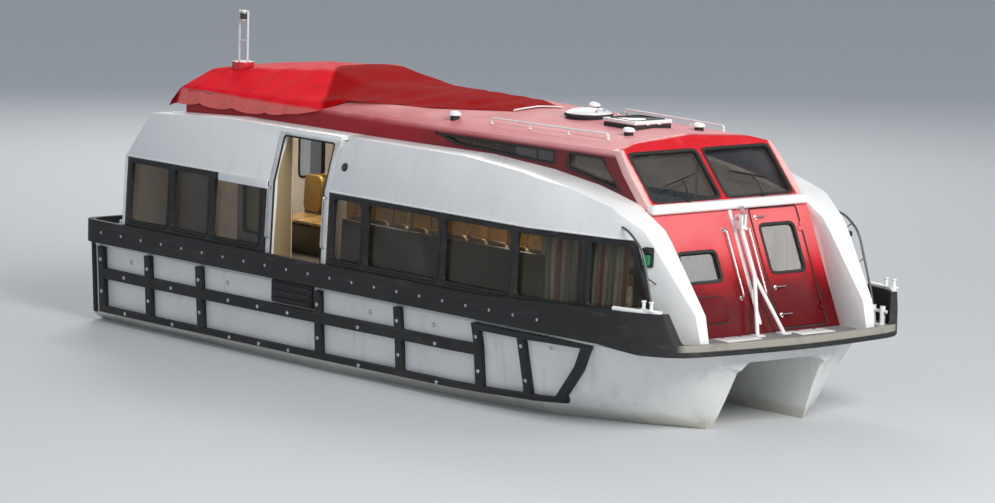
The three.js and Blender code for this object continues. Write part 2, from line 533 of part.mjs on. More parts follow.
// Windscreen frame above the sill, in two panes, and its glass behind
const PILLAR = { foot: 2905, head: 3700, headX: 3930 };
const screenRegion = sidePrism([
  [FRONT_JOINT + 1, SILL.z], [AHEAD, SILL.z], [AHEAD, ABOVE], [PILLAR.headX, ABOVE],
  [PILLAR.headX + 1, PILLAR.head], [FRONT_JOINT + 1, PILLAR.foot + 1],
], -FRONT_RECESS_HALF, FRONT_RECESS_HALF);
const SCREEN = { inner: 45, outer: 1230, bottom: 2915, top: 3510, aft: 3800 };
const screenHole = box([SCREEN.aft, SCREEN.inner, SCREEN.bottom], [AHEAD, SCREEN.outer, SCREEN.top]);
place('windscreen_frame', cabinShell.intersect(screenRegion)
  .subtract(screenHole).subtract(mirrored(screenHole)), RED);
const SCREEN_GLASS = { half: 1290, bottom: 2880, top: 3540, browBack: [61, 71], sillBack: [83, 73] };
const screenGlass = sidePrism([
  [BROW.x - SCREEN_GLASS.browBack[0], BROW.z - 12], [BROW.x - SCREEN_GLASS.browBack[1], BROW.z - 12],
  [SILL.x - SCREEN_GLASS.sillBack[0], SILL.z - 18], [SILL.x - SCREEN_GLASS.sillBack[1], SILL.z - 18],
]).intersect(box(
  [0, -SCREEN_GLASS.half, SCREEN_GLASS.bottom], [AHEAD, SCREEN_GLASS.half, SCREEN_GLASS.top]))
  .intersect(trunkLoft(WALL + GAP));
place('windscreen_glass', screenGlass, TINTED_GLASS);

// Trunk roof with the clerestory windows and two hatch coamings
const roofLine = BODY_SIDE.slice(2, 7).map(([x, z]) => [x, z + GAP]);
const roofRegion = sidePrism([
  ...roofLine, [FRONT_JOINT - 1, PILLAR.foot], [PILLAR.headX - 1, PILLAR.head],
  [PILLAR.headX - 1, ABOVE], [roofLine[0][0], ABOVE],
]);
const clerestory = [
  [[1000, 3330], [620, 3430], [2990, 3430], [2990, 3255]],
  [[3230, 3235], [3230, 3430], [3900, 3430], [4270, 3040]],
];
const TRUNK_SIDE = 1000;       // the trunk's sides lie further out than this
const clerestoryHoles = join(...clerestory.map((points) => sidePrism(points, TRUNK_SIDE, OUTSIDE)));
const COAMING_FOOT = 3560;
const DOME = { x: 1980, bore: 250, coaming: 300, top: 3755, rim: 330 };
const HELM_HATCH = { x: 3000, half: 280, wall: 35, rim: 50, top: 3750, lid: 45 };
const HATCH_HINGE = { pin: 9, ys: [-130, 70], length: 30, gap: 0.5 };
const domeCoaming = rod([DOME.x, 0, COAMING_FOOT], [DOME.x, 0, DOME.top], DOME.coaming, 32);
const domeBore = rod([DOME.x, 0, LEDGE_Z], [DOME.x, 0, ABOVE], DOME.bore, 32);
const helmFrame = (grow, low, high) => box(
  [HELM_HATCH.x - HELM_HATCH.half - grow, -HELM_HATCH.half - grow, low],
  [HELM_HATCH.x + HELM_HATCH.half + grow, HELM_HATCH.half + grow, high]);

// Two pairs of knuckles across the boat, on an axis behind the lid's rim
function hatchHinge(x, z, lidX, coamingX) {
  const { pin, ys, length, gap } = HATCH_HINGE;
  const rodsAt = (offset) => ys.map((y) => rod([x, y + offset, z], [x, y + offset + length, z], pin, 12));
  const padsAt = (offset, toX, low, high) => ys.map((y) => box(
    [Math.min(x, toX), y + offset, low], [Math.max(x, toX), y + offset + length, high]));
  return {
    leaf: join(...rodsAt(0), ...padsAt(0, lidX, z + 1, z + pin)),
    frame: join(...rodsAt(length + gap), ...padsAt(length + gap, coamingX, z - pin, z - 1)),
  };
}
const domeHinge = hatchHinge(
  DOME.x - DOME.rim - 20, DOME.top - 25, DOME.x - DOME.rim + 20, DOME.x - DOME.coaming + 25);
const helmEdge = HELM_HATCH.x + HELM_HATCH.half;
const helmHinge = hatchHinge(
  helmEdge + HELM_HATCH.rim + 15, HELM_HATCH.top - 5, helmEdge + HELM_HATCH.rim - 10, helmEdge + 10);
const roof = cabinShell.intersect(roofRegion)
  .subtract(clerestoryHoles).subtract(mirrored(clerestoryHoles))
  .add(domeCoaming.subtract(trunkLoft(WALL))).add(domeHinge.frame).subtract(domeBore)
  .add(helmFrame(HELM_HATCH.wall, COAMING_FOOT + 40, HELM_HATCH.top).subtract(trunkLoft(WALL)))
  .add(helmHinge.frame).subtract(helmFrame(0, LEDGE_Z, ABOVE));
place('cabin_roof', roof, FADED_RED);
const clereOutline = [[560, 3300], [560, 3470], [3960, 3470], [4380, 3060], [3200, 3210]];
const clereSheet = trunkLoft(WALL + GAP).subtract(trunkLoft(WALL + GAP + GLASS))
  .intersect(sidePrism(clereOutline, TRUNK_SIDE, OUTSIDE));
placePair('clerestory_glass', clereSheet, TINTED_GLASS);

// Roof hatch lids
const domeProfile = [
  [0, 0.5], [305, 0.5], [310, -20], [DOME.rim, -20], [322, 25], [230, 60], [120, 76], [0, 82],
];
const domePoints = domeProfile.map(([r, z]) => new THREE.Vector2(r, DOME.top + z));
const domeLid = solid(new THREE.LatheGeometry(domePoints, 32).rotateX(Math.PI / 2).translate(DOME.x, 0, 0));
place('dome_hatch', domeLid.add(domeHinge.leaf), WHITE);
const helmLid = helmFrame(HELM_HATCH.rim, HELM_HATCH.top + 0.5, HELM_HATCH.top + HELM_HATCH.lid);
place('helm_hatch', helmLid.add(helmHinge.leaf), WHITE);

// Raised red canopy over the after cabin: a hood past the bulkhead aft, a flat top that narrows
// forward, and a hip that runs down into a low nose along the crown of the roof
const CANOPY = table(
  ['x', 'foot', 'footZ', 'side', 'sideZ', 'top', 'topZ', 'crownZ'],
  [
    [-5600, 1540, 3200, 1530, 3270, 1400, 3380, 3410],
    [-5340, 1540, 3200, 1500, 3480, 1000, 3770, 3790],
    [-2900, 1540, 3270, 1490, 3550, 620, 3950, 3975],
    [-1550, 1240, 3270, 1190, 3660, 430, 3785, 3800],
    [-200, 1000, 3270, 960, 3685, 300, 3762, 3780],
    [900, 420, 3270, 400, 3708, 200, 3724, 3737],
  ],
);
const CANOPY_SKIN = 40;
function canopyEnd(row, inset) {
  if (row === CANOPY[0]) return inset;
  return row === CANOPY.at(-1) ? -inset : 0;
}
const canopyLoft = (inset) => twinLoft(CANOPY.map((row) => ({ x: row.x + canopyEnd(row, inset), half: [
  [0, row.footZ - inset], [row.foot - inset, row.footZ - inset],
  [row.side - inset, row.sideZ - inset * 0.4], [row.top - inset * 0.4, row.topZ - inset],
  [0, row.crownZ - inset],
] })));
const trunkRoom = trunkLoft(-GAP).intersect(trunkSide(-GAP));
const canopy = canopyLoft(0).subtract(canopyLoft(CANOPY_SKIN)).subtract(trunkRoom);
place('canopy', canopy, RED);

// Engines as plain blocks on their bearers, low in each hull
const engineRoom = hold.translate(0, 0, GAP);
placePair('engine', box([-3500, 1050, -1000], [-2300, 1700, -80]).intersect(engineRoom), ENGINE_GREY);

// Shaft tubes with struts, propellers and rudders
const SHAFT = { from: -4400, to: -5780, radius: 38, strut: [-5740, -5620], strutHalf: 12 };
const belowHull = hullBlock.translate(0, 0, -GAP);
const shaftTube = join(
  rod([SHAFT.from, PROP.y, PROP.z], [SHAFT.to, PROP.y, PROP.z], SHAFT.radius),
  box([SHAFT.strut[0], PROP.y - SHAFT.strutHalf, PROP.z], [SHAFT.strut[1], PROP.y + SHAFT.strutHalf, -300]),
).subtract(belowHull);
placePair('shaft', shaftTube, STEEL);
const BLADE = { root: 68, half: 62, thick: 14, pitch: 0.9, count: 4 };
const bladeLength = (PROP.radius - BLADE.root) / 2;
const bladeOutline = new THREE.Shape()
  .absellipse(0, BLADE.root + bladeLength - 14, BLADE.half, bladeLength + 14, 0, 2 * Math.PI);
const blade = solid(new THREE.ExtrudeGeometry(
  bladeOutline, { depth: BLADE.thick, bevelEnabled: false, curveSegments: 10 },
).translate(0, 0, -BLADE.thick / 2).rotateY(BLADE.pitch));
const bladeAt = (turn) => blade.rotate(turn, 0, 0).translate(PROP.x, PROP.y, PROP.z);
const blades = Array.from({ length: BLADE.count }, (_, k) => bladeAt((k * 360) / BLADE.count));
const hubEnd = PROP.x - 70;
const propeller = join(
  rod([SHAFT.to - 0.5, PROP.y, PROP.z], [hubEnd, PROP.y, PROP.z], PROP.hub, 20),
  rod([hubEnd, PROP.y, PROP.z], [hubEnd - 40, PROP.y, PROP.z], 30, 20),
  ...blades,
);
placePair('propeller', propeller, BRONZE);
const rudderSection = [
  [-6060, 0], [-6160, 22], [-6300, 20], [-6480, 4], [-6480, -4], [-6300, -20], [-6160, -22],
];
const rudder = planPrism(rudderSection.toReversed(), RUDDER.tip, RUDDER.blade).translate(0, PROP.y, 0)
  .add(rod([RUDDER.x, PROP.y, RUDDER.tip + 10], [RUDDER.x, PROP.y, RUDDER.stockTop], RUDDER.stock, 24));
placePair('rudder', rudder, STEEL);

// Mooring bitts, a cross bar through two posts
const BITT = { plate: [160, 60, 22], spread: 90, post: 38, height: 260, bar: 22, barHalf: 170, barZ: 190 };
function bitt(x, y) {
  const [halfX, halfY, thick] = BITT.plate;
  return join(
    box([x - halfX, y - halfY, DECK_TOP + GAP], [x + halfX, y + halfY, DECK_TOP + thick]),
    ...[-BITT.spread, BITT.spread].map((dx) =>
      rod([x + dx, y, DECK_TOP + thick - 2], [x + dx, y, DECK_TOP + BITT.height], BITT.post)),
    rod([x - BITT.barHalf, y, DECK_TOP + BITT.barZ], [x + BITT.barHalf, y, DECK_TOP + BITT.barZ], BITT.bar),
  );
}
placePair('bow_bitt', bitt(5830, 1878), WHITE);
placePair('stern_bitt', bitt(-6280, 1850), WHITE);

// Lifting posts on the centreline, each an A-frame foot under one post with a release hook
const LIFT = { legY: 230, leg: 27, post: 32, padX: 80, padY: 70, pad: 20, headHalf: 70, pin: 16, pinZ: 80 };
const CLEVIS = { inner: 21, outer: 45, below: 60, floor: 15, above: 130 };
function liftingPost(footX, apex, head) {
  const [headX, headZ] = head;
  const legs = [1, -1].flatMap((side) => [
    rod([footX, side * LIFT.legY, DECK_TOP + LIFT.pad - 5], [apex[0], 0, apex[1]], LIFT.leg, 12),
    box([footX - LIFT.padX, side * LIFT.legY - LIFT.padY, DECK_TOP + GAP],
      [footX + LIFT.padX, side * LIFT.legY + LIFT.padY, DECK_TOP + LIFT.pad]),
  ]);
  const clevisBox = (y0, y1, z1) => box(
    [headX - LIFT.headHalf, y0, headZ - CLEVIS.below], [headX + LIFT.headHalf, y1, headZ + z1]);
  return join(
    ...legs, rod([apex[0], 0, apex[1]], [headX, 0, headZ - 30], LIFT.post, 12),
    clevisBox(CLEVIS.inner, CLEVIS.outer, CLEVIS.above),
    clevisBox(-CLEVIS.outer, -CLEVIS.inner, CLEVIS.above),
    clevisBox(-CLEVIS.outer, CLEVIS.outer, -CLEVIS.floor),
    rod([headX, 1 - CLEVIS.outer, headZ + LIFT.pinZ], [headX, CLEVIS.outer - 1, headZ + LIFT.pinZ],
      LIFT.pin, 16),
  ).intersect(aboveDeck);
}
function releaseHook(head) {
  const outline = new THREE.Shape([
    [-50, 15], [50, 15], [60, 110], [60, 190], [25, 240], [-40, 240], [-75, 205], [-75, 175], [-50, 170],
    [-40, 195], [-10, 205], [20, 190], [25, 150], [0, 135], [-50, 120],
  ].map(([a, b]) => new THREE.Vector2(a, b)));
  outline.holes.push(new THREE.Path().absarc(0, LIFT.pinZ, LIFT.pin + BORE_ROOM, 0, 2 * Math.PI, true));
  return sidePrism(outline, -20, 20).translate(head[0], 0, head[1]);
}
const FORWARD_HEAD = [5140, 2600];
const AFT_HEAD = [-5950, 2600];
place('lifting_post_forward', liftingPost(5790, [5440, 1950], FORWARD_HEAD), WHITE);
place('lifting_hook_forward', releaseHook(FORWARD_HEAD), STEEL);
place('lifting_post_aft', liftingPost(-6250, [-6030, 1950], AFT_HEAD), WHITE);
place('lifting_hook_aft', releaseHook(AFT_HEAD), STEEL);

// Signal mast: two thin legs and a lamp between them, on the starboard quarter of the canopy
const MAST = {
  x: -4800, y: -850, foot: 3740, seat: 3900, top: 4640, legs: 100, base: 160, leg: 17, rung: 12,
};
const LAMP = { radius: 45, foot: 4495 };
const mastAt = (dx, z) => [MAST.x + dx, MAST.y, z];
const mast = join(
  rod(mastAt(0, MAST.foot), mastAt(0, MAST.seat), MAST.base, 20),
  ...[-MAST.legs, MAST.legs].map((dx) => rod(mastAt(dx, MAST.seat - 10), mastAt(dx, MAST.top), MAST.leg, 12)),
  ...[4200, 4500].map((z) => rod(mastAt(-MAST.legs, z), mastAt(MAST.legs, z), MAST.rung, 10)),
  rod(mastAt(0, LAMP.foot), mastAt(0, MAST.top), LAMP.radius, 16),
);
place('mast', mast.subtract(canopyLoft(-GAP)), WHITE);

// Inside: benches along the windows and down the middle, and the helm
const SEAT_FOOT = DECK_TOP + GAP;
const insideWall = bodyLoft(WALL + GLASS + 2 * GAP);
const sideBench = crossPrism([
  [1350, SEAT_FOOT], [2400, SEAT_FOOT], [2400, 2150], [2020, 2150], [1960, 1660], [1350, 1620],
], -700, 3600).intersect(insideWall);
placePair('bench', sideBench, BEIGE);
place('centre_bench', crossPrism([
  [-620, SEAT_FOOT], [620, SEAT_FOOT], [620, 1620], [90, 1660], [60, 2200], [-60, 2200], [-90, 1660],
  [-620, 1620],
], -4300, 1500), BEIGE);
place('helm_console', sidePrism([
  [3700, SEAT_FOOT], [4500, SEAT_FOOT], [4500, 2500], [4300, 2620], [3850, 2350], [3700, 2200],
], -620, 620), DARK_BAND);

export default boat;
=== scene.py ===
import math

import bmesh
import bpy
from mathutils import Matrix, Quaternion, Vector, noise
from mathutils.bvhtree import BVHTree


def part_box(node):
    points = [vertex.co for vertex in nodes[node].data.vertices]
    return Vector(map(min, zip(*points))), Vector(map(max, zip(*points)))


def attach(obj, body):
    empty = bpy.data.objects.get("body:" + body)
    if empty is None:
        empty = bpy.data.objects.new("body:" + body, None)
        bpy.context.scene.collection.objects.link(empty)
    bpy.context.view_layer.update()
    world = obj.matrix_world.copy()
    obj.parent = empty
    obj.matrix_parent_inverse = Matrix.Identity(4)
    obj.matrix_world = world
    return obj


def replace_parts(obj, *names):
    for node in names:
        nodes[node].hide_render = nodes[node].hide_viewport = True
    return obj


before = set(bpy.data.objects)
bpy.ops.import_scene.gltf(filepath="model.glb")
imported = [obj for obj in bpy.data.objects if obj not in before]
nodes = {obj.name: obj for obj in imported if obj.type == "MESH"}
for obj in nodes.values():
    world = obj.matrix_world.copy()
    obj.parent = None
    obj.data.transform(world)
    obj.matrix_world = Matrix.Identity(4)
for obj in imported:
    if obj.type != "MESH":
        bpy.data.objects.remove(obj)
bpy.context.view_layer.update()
SIDES = {"port": 1, "starboard": -1}


# Twin hull
# One laminated moulding in white gelcoat: two slim hulls with hard chines, joined over a tunnel.
# The sea leaves a brown line at the water, and rain draws grey runs down from the rubber.
class Wire:
    """A node's output that is added, scaled and compared like a number."""

    def __init__(self, tree, socket=None):
        self.tree = tree
        self.socket = socket

    def node(self, kind, settings=None, sockets=None, out=0):
        """Any node by its type, with its settings first, and then its sockets."""
        made = self.tree.nodes.new("ShaderNode" + kind)
        for name, value in (settings or {}).items():
            setattr(made, name, value)
        for name, value in (sockets or {}).items():
            if isinstance(value, Wire):
                self.tree.links.new(value.socket, made.inputs[name])
            else:
                made.inputs[name].default_value = value
        return Wire(self.tree, made.outputs[out] if made.outputs else None)

    def maths(self, operation, first, second=0.0):
        """A sum by its operation's name."""
        return self.node("Math", {"operation": operation}, {0: first, 1: second})

    def fraction(self):
        """What stands after the point."""
        return self.maths("FRACT", self)

    def __abs__(self):
        return self.maths("ABSOLUTE", self)

    def __add__(self, other):
        return self.maths("ADD", self, other)

    def __sub__(self, other):
        return self.maths("SUBTRACT", self, other)

    def __rsub__(self, other):
        return self.maths("SUBTRACT", other, self)

    def __mul__(self, other):
        return self.maths("MULTIPLY", self, other)

    def __truediv__(self, other):
        return self.maths("DIVIDE", self, other)

    def __gt__(self, other):
        return self.maths("GREATER_THAN", self, other)

    __radd__ = __add__
    __rmul__ = __mul__


def workbench(name):
    """A new material's empty node tree, and the place on the boat as its first wire."""
    finish = bpy.data.materials.new(name)
    finish.use_nodes = True
    finish.node_tree.nodes.clear()
    return finish, Wire(finish.node_tree).node("TexCoord", out="Object")


def axes(place):
    """The three coordinates of a place, each a wire of its own."""
    split = place.node("SeparateXYZ", {}, {0: place})
    return [Wire(place.tree, output) for output in split.socket.node.outputs]


def grain(place, scale, detail=3.0, stretch=(1.0, 1.0, 1.0)):
    """Cloudy noise from 0 to 1, drawn out along an axis where a stretch is under 1."""
    drawn = place.node("Mapping", {}, {"Vector": place, "Scale": stretch})
    return place.node("TexNoise", {}, {"Vector": drawn, "Scale": scale, "Detail": detail})


def ramp(wire, low, high):
    """0 below low, 1 above high, and a smooth rise between them."""
    return wire.node("MapRange", {"interpolation_type": "SMOOTHSTEP"}, {
        "Value": wire, "From Min": low, "From Max": high, "To Min": 0.0, "To Max": 1.0})


def tint(mask, under, over):
    """The colour over shows where the mask is 1, and the colour under where it is 0."""
    ends = {0: mask}
    for socket, colour in ((6, under), (7, over)):
        ends[socket] = colour if isinstance(colour, Wire) else (*colour, 1.0)
    return mask.node("Mix", {"data_type": "RGBA"}, ends, out=2)


def shade(finish, colour, roughness, relief=None, depth=0.002, **fixed):
    """Ends a material: its colour, its roughness and the height that gives its relief."""
    sockets = {"Base Color": colour, "Roughness": roughness}
    sockets.update({name.replace("_", " "): value for name, value in fixed.items()})
    if relief is not None:
        sockets["Normal"] = relief.node("Bump", {}, {"Height": relief, "Distance": depth, "Strength": 1.0})
    body = Wire(finish.node_tree).node("BsdfPrincipled", {}, sockets)
    body.node("OutputMaterial", {}, {"Surface": body})
    return finish


def gelcoat(name, colour, soot=0.25, waterline=False):
    """Glossy laminate: uneven chalking, grey rain runs, and a scum line where it floats."""
    finish, place = workbench(name)
    chalk = ramp(grain(place, 1.3, 6.0), 0.35, 0.75)
    runs = ramp(grain(place, 2.2, 5.0, (2.4, 2.4, 0.14)), 0.52, 0.8)
    dirt = tuple(channel * 0.52 for channel in colour)
    pale = tuple(min(1.0, channel * 1.06) for channel in colour)
    coat = tint(runs * soot, tint(chalk * 0.7, colour, pale), dirt)
    if waterline:
        wobble = grain(place, 1.1, 4.0) * 0.16
        scum = ramp(axes(place)[2] - wobble, 0.16, -0.02)
        coat = tint(scum * 0.55, coat, (0.36, 0.33, 0.24))
    ripple = grain(place, 0.9, 2.0) + grain(place, 60.0, 2.0) * 0.02
    rough = 0.26 + chalk * 0.16 + runs * 0.12
    return shade(finish, coat, rough, ripple, 0.004, Coat_Weight=0.25, Coat_Roughness=0.12)


def fit(bm, name, finish, slot, body="boat", smooth=32.0):
    """Makes a mesh a piece of the boat, with its finish, its shading and what it rides on."""
    for edge in bm.edges:
        edge.smooth = edge.is_manifold and edge.calc_face_angle() < math.radians(smooth)
    for face in bm.faces:
        face.smooth = True
    mesh = bpy.data.meshes.new(name)
    bm.to_mesh(mesh)
    bm.free()
    mesh.materials.append(finish)
    made = bpy.data.objects.new(name, mesh)
    bpy.context.scene.collection.objects.link(made)
    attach(made, body)
    return made


def bevel(bm, geom, offset, steps=2, affect="EDGES", clamp=False):
    """Rounds edges or corners off."""
    bmesh.ops.bevel(bm, geom=geom, offset=offset, affect=affect, segments=steps, profile=0.5,
                    material=-1, clamp_overlap=clamp)


def recast(node, radius, name, finish, slot, body="boat", smooth=32.0, steps=2):
    """A copy of a CAD node, welded and with every sharp edge rounded, that stands for the node."""
    bm = bmesh.new()
    bm.from_mesh(nodes[node].data)
    bmesh.ops.remove_doubles(bm, verts=bm.verts, dist=2e-5)
    bmesh.ops.dissolve_limit(bm, angle_limit=math.radians(0.3), verts=bm.verts, edges=bm.edges)
    sharp = [e for e in bm.edges if e.is_manifold and e.calc_face_angle() > math.radians(25.0)]
    bevel(bm, sharp, radius, steps, clamp=True)
    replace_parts(fit(bm, name, finish, slot, body, smooth), node)


hull_finish = gelcoat("hull_gelcoat", (0.78, 0.79, 0.78), 0.35, waterline=True)
recast("hull", 0.018, "hull_shell", hull_finish, "hull_gelcoat")


# Hull fittings
# Exhaust and bilge outlets with bolted flanges stand on the transoms, drains run out of the deck
# through the sides under the belt, and zinc blocks are bolted on below the waterline.
OUTLETS = ((1.38, 0.42, 0.075), (1.72, 0.52, 0.035), (1.9, 0.52, 0.035))    # across, up and bore
DRAINS_AT = (-5.6, -3.2, -1.8, 0.1, 1.5, 3.9)
DRAIN_Z = 0.96
DRAIN = [(0.0, -0.002), (0.038, -0.002), (0.034, 0.008), (0.024, 0.01), (0.02, 0.001), (0.0, 0.001)]
ZINCS_AT = ((-4.9, -0.3), (-3.0, -0.35), (0.6, -0.4))
ZINC = [(0.0, -0.004), (0.075, -0.004), (0.068, 0.022), (0.05, 0.03), (0.02, 0.03), (0.018, 0.022),
        (0.0, 0.022)]
OUTSIDE = 8.0                 # clear of the boat on every side


def skin(node):
    """The surface of a CAD node, to set small fittings on."""
    data = nodes[node].data
    return BVHTree.FromPolygons([v.co for v in data.vertices], [p.vertices for p in data.polygons])


def meet(surface, start, along):
    """Where a line meets a surface, and which way the surface faces there."""
    return surface.ray_cast(Vector(start), Vector(along))[:2]


def abeam(surface, sign, x, z):
    """Where a level line from one side of the boat meets a surface, and which way it faces."""
    return meet(surface, (x, sign * OUTSIDE, z), (0, -sign, 0))


def pour(part, bm):
    """Adds one finished bmesh to another, with its faces turned outwards."""
    bmesh.ops.recalc_face_normals(part, faces=part.faces)
    carrier = bpy.data.meshes.new("carrier")
    part.to_mesh(carrier)
    part.free()
    bm.from_mesh(carrier)
    bpy.data.meshes.remove(carrier)
    return bm


def aimed(foot, along):
    """The matrix that stands a shape on its foot, with its height along a direction."""
    return Matrix.Translation(Vector(foot)) @ Vector(along).to_track_quat("Z", "Y").to_matrix().to_4x4()


def turned(bm, profile, foot, along=(0, 0, 1), steps=28):
    """A turned fitting from its profile of (radius, height), with its foot and axis given."""
    part = bmesh.new()
    line = [part.verts.new((radius, 0.0, height)) for radius, height in profile]
    for near, far in zip(line, line[1:]):
        part.edges.new((near, far))
    bmesh.ops.spin(part, geom=part.verts[:] + part.edges[:], cent=(0, 0, 0), axis=(0, 0, 1),
                   angle=2 * math.pi, steps=steps, use_merge=True)
    bmesh.ops.remove_doubles(part, verts=part.verts, dist=1e-5)
    bmesh.ops.transform(part, matrix=aimed(foot, along), verts=part.verts)
    return pour(part, bm)


def disc(bm, foot, along, radius, thick, sides=20, ease_by=0.0):
    """A round plate or a short bar, its near face at the foot and drawn out along a direction."""
    place = aimed(foot, along) @ Matrix.Translation((0.0, 0.0, thick / 2))
    bmesh.ops.create_cone(bm, cap_ends=True, segments=sides, radius1=radius, radius2=radius - ease_by,
                          depth=thick, matrix=place)
    return bm


def bolt_ring(bm, foot, along, radius, head, tall):
    """Six hexagon heads in a ring round a foot."""
    for angle in (math.pi / 3 * k for k in range(6)):
        spoke = Vector((math.cos(angle), math.sin(angle), 0.0)) * radius
        disc(bm, aimed(foot, along) @ spoke, along, head, tall, 6)


def slab(bm, low, high, round_off=0.01, steps=2):
    """A block between two corners of the boat's frame, with its edges rounded."""
    low, high = Vector(map(min, low, high)), Vector(map(max, low, high))
    place = Matrix.Translation((high + low) / 2) @ Matrix.Diagonal((*(high - low), 1.0))
    corners = bmesh.ops.create_cube(bm, size=1.0, matrix=place)["verts"]
    edges = list({edge for corner in corners for edge in corner.link_edges})
    bevel(bm, edges, round_off, steps)
    return bm


def steel_polish(name, colour, rough, metal=1.0):
    """Drawn or cast metal: fine scratches, and duller where salt has dried."""
    finish, place = workbench(name)
    salt = ramp(grain(place, 7.0, 5.0), 0.5, 0.8)
    scratch = grain(place, 240.0, 2.0, (1.0, 0.08, 1.0))
    dull = tuple(channel * 0.72 for channel in colour)
    return shade(finish, tint(salt * 0.6, colour, dull), scratch * 0.15 + salt * 0.2 + rough,
                 scratch, 0.0004, Metallic=metal)


steel_finish = steel_polish("stainless_steel", (0.62, 0.63, 0.64), 0.18)
zinc_finish = steel_polish("zinc_block", (0.42, 0.43, 0.43), 0.55, 0.7)
hull_skin = skin("hull")
outlets = bmesh.new()
zincs = bmesh.new()
for sign in SIDES.values():
    for y, z, bore in OUTLETS:
        wall, _ = meet(hull_skin, (-OUTSIDE, sign * y, z), (1, 0, 0))
        pipe = [(0.0, 0.0), (bore * 1.7, 0.0), (bore * 1.7, 0.008), (bore, 0.01), (bore, 0.058),
                (bore * 0.84, 0.06), (bore * 0.82, 0.012), (0.0, 0.012)]
        turned(outlets, pipe, wall, (-1, 0, 0))
        bolt_ring(outlets, wall - Vector((0.007, 0.0, 0.0)), (-1, 0, 0), bore * 1.35, bore * 0.12, 0.006)
    for x in DRAINS_AT:
        wall, out = abeam(hull_skin, sign, x, DRAIN_Z)
        turned(outlets, DRAIN, wall, out, 20)
    for x, z in ZINCS_AT:
        wall, out = abeam(hull_skin, sign, x, z)
        turned(zincs, ZINC, wall, out)
fit(outlets, "hull_outlets", steel_finish, "steel")
fit(zincs, "hull_zincs", zinc_finish, "steel")


# Deck
# A flat sandwich moulding with grey non-slip paint, in fields between bare white margins.
# The paint is rolled on with grit in it and is worn pale where people step off the doors.
def deck_paint():
    """Gritty grey paint, worn and damp in patches, and bare gelcoat along the edges."""
    finish, place = workbench("deck_paint")
    wear = ramp(grain(place, 1.6, 5.0), 0.45, 0.72)
    damp = ramp(grain(place, 0.8, 3.0), 0.5, 0.62)
    margin = ramp(abs(axes(place)[1]), 2.16, 2.17)
    colour = tint(wear * 0.5, (0.17, 0.18, 0.175), (0.36, 0.36, 0.34))
    colour = tint(damp * 0.3, colour, (0.09, 0.095, 0.1))
    colour = tint(margin, colour, (0.62, 0.63, 0.61))
    grit = grain(place, 190.0, 2.0) * (1.0 - margin)
    return shade(finish, colour, 0.78 - damp * 0.25 - margin * 0.3, grit, 0.0015)


recast("deck", 0.012, "deck_plate", deck_paint(), "deck_grey")


# Deck lids
# Flush white lids over the lockers in the foredeck and over each engine room aft.
# Each is a rounded plate on a rubber seal, with two turn latches let into it.
LIDS = ((5.72, 6.02, 0.35, 0.95), (5.72, 6.02, -0.95, -0.35),
        (-6.5, -5.9, 0.95, 1.65), (-6.5, -5.9, -1.65, -0.95))    # from and to, along and across
LID_RISE = 0.014
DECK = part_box("deck")[1].z
white_finish = gelcoat("white_gelcoat", (0.84, 0.85, 0.85), 0.16)
lids = bmesh.new()
latches = bmesh.new()
for x0, x1, y0, y1 in LIDS:
    slab(lids, (x0, y0, DECK + 0.001), (x1, y1, DECK + LID_RISE), 0.006)
    for share in (0.25, 0.75):
        latch = (x0 + (x1 - x0) * 0.12, y0 + (y1 - y0) * share, DECK + LID_RISE)
        disc(latches, latch, (0, 0, 1), 0.028, 0.004, 16, 0.003)
fit(lids, "deck_lids", white_finish, "white_gelcoat")
fit(latches, "deck_latches", steel_finish, "steel")


# Gunwale belts
# A thick black rubber belt is bolted round the deck edge and takes the knocks at a jetty.
# It is moulded in lengths, with a shallow joint every two metres and a bolt every half metre.
# Across the bow its upper half is painted pale grey-tan, a painted highlight where light from ahead falls on
# it.
BELT_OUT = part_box("gunwale_belt_port")[1].y
BELT_BOLTS = [-6.2 + 0.5 * k for k in range(21)]
BELT_BOLT_Z = 1.335
BELT_BOLT = ((0.024, 0.004, 10, 0.002), (0.013, 0.008, 6, 0.001))    # cup, then head


def rubber(name, joints=0.0, highlight_from=0.0):
    """Black rubber: grey scuffs on what stands out, a bloom of salt, moulding joints, and optionally a
    painted highlight on the upper half across the bow.
    """
    finish, place = workbench(name)
    along, _, height = axes(place)
    scuff = ramp(grain(place, 5.0, 6.0, (0.35, 1.0, 2.2)), 0.55, 0.78)
    bloom = ramp(grain(place, 1.1, 4.0), 0.4, 0.8)
    colour = tint(bloom * 0.5, (0.012, 0.012, 0.013), (0.035, 0.034, 0.034))
    colour = tint(scuff * 0.4, colour, (0.1, 0.1, 0.1))
    relief = grain(place, 70.0, 3.0) * 0.3
    if highlight_from:
        # Painted highlight: the belt's upper half across the bow is painted pale grey-tan, as if lit from
        # ahead.
        bow_highlight = ramp(along, highlight_from, highlight_from + 0.1) * ramp(height, 1.165, 1.18)
        bow_highlight = bow_highlight * (1.0 - ramp(grain(place, 3.5, 6.0), 0.55, 0.8) * 0.5)
        colour = tint(bow_highlight, colour, (0.3, 0.285, 0.25))
    if joints:
        relief = relief + ramp(abs((along / joints).fraction() - 0.5), 0.0, 0.006)
    return shade(finish, colour, 0.62 + scuff * 0.2, relief, 0.004)


def bolt(bm, face, out, cup, head):
    """A round cup and a hexagon head in it, each by its radius, height, sides and bevel."""
    disc(bm, Vector(face) - Vector(out) * 0.003, out, *cup)
    disc(bm, face, out, *head)


belt_finish = rubber("belt_rubber", joints=2.0, highlight_from=6.12)
fender_finish = rubber("fender_rubber")
bolts = bmesh.new()
for side, sign in SIDES.items():
    recast(f"gunwale_belt_{side}", 0.032, f"belt_{side}", belt_finish, "fender_rubber", steps=3)
    for x in BELT_BOLTS:
        bolt(bolts, (x, sign * BELT_OUT, BELT_BOLT_Z), (0, sign, 0), *BELT_BOLT)
fit(bolts, "belt_bolts", steel_finish, "steel")


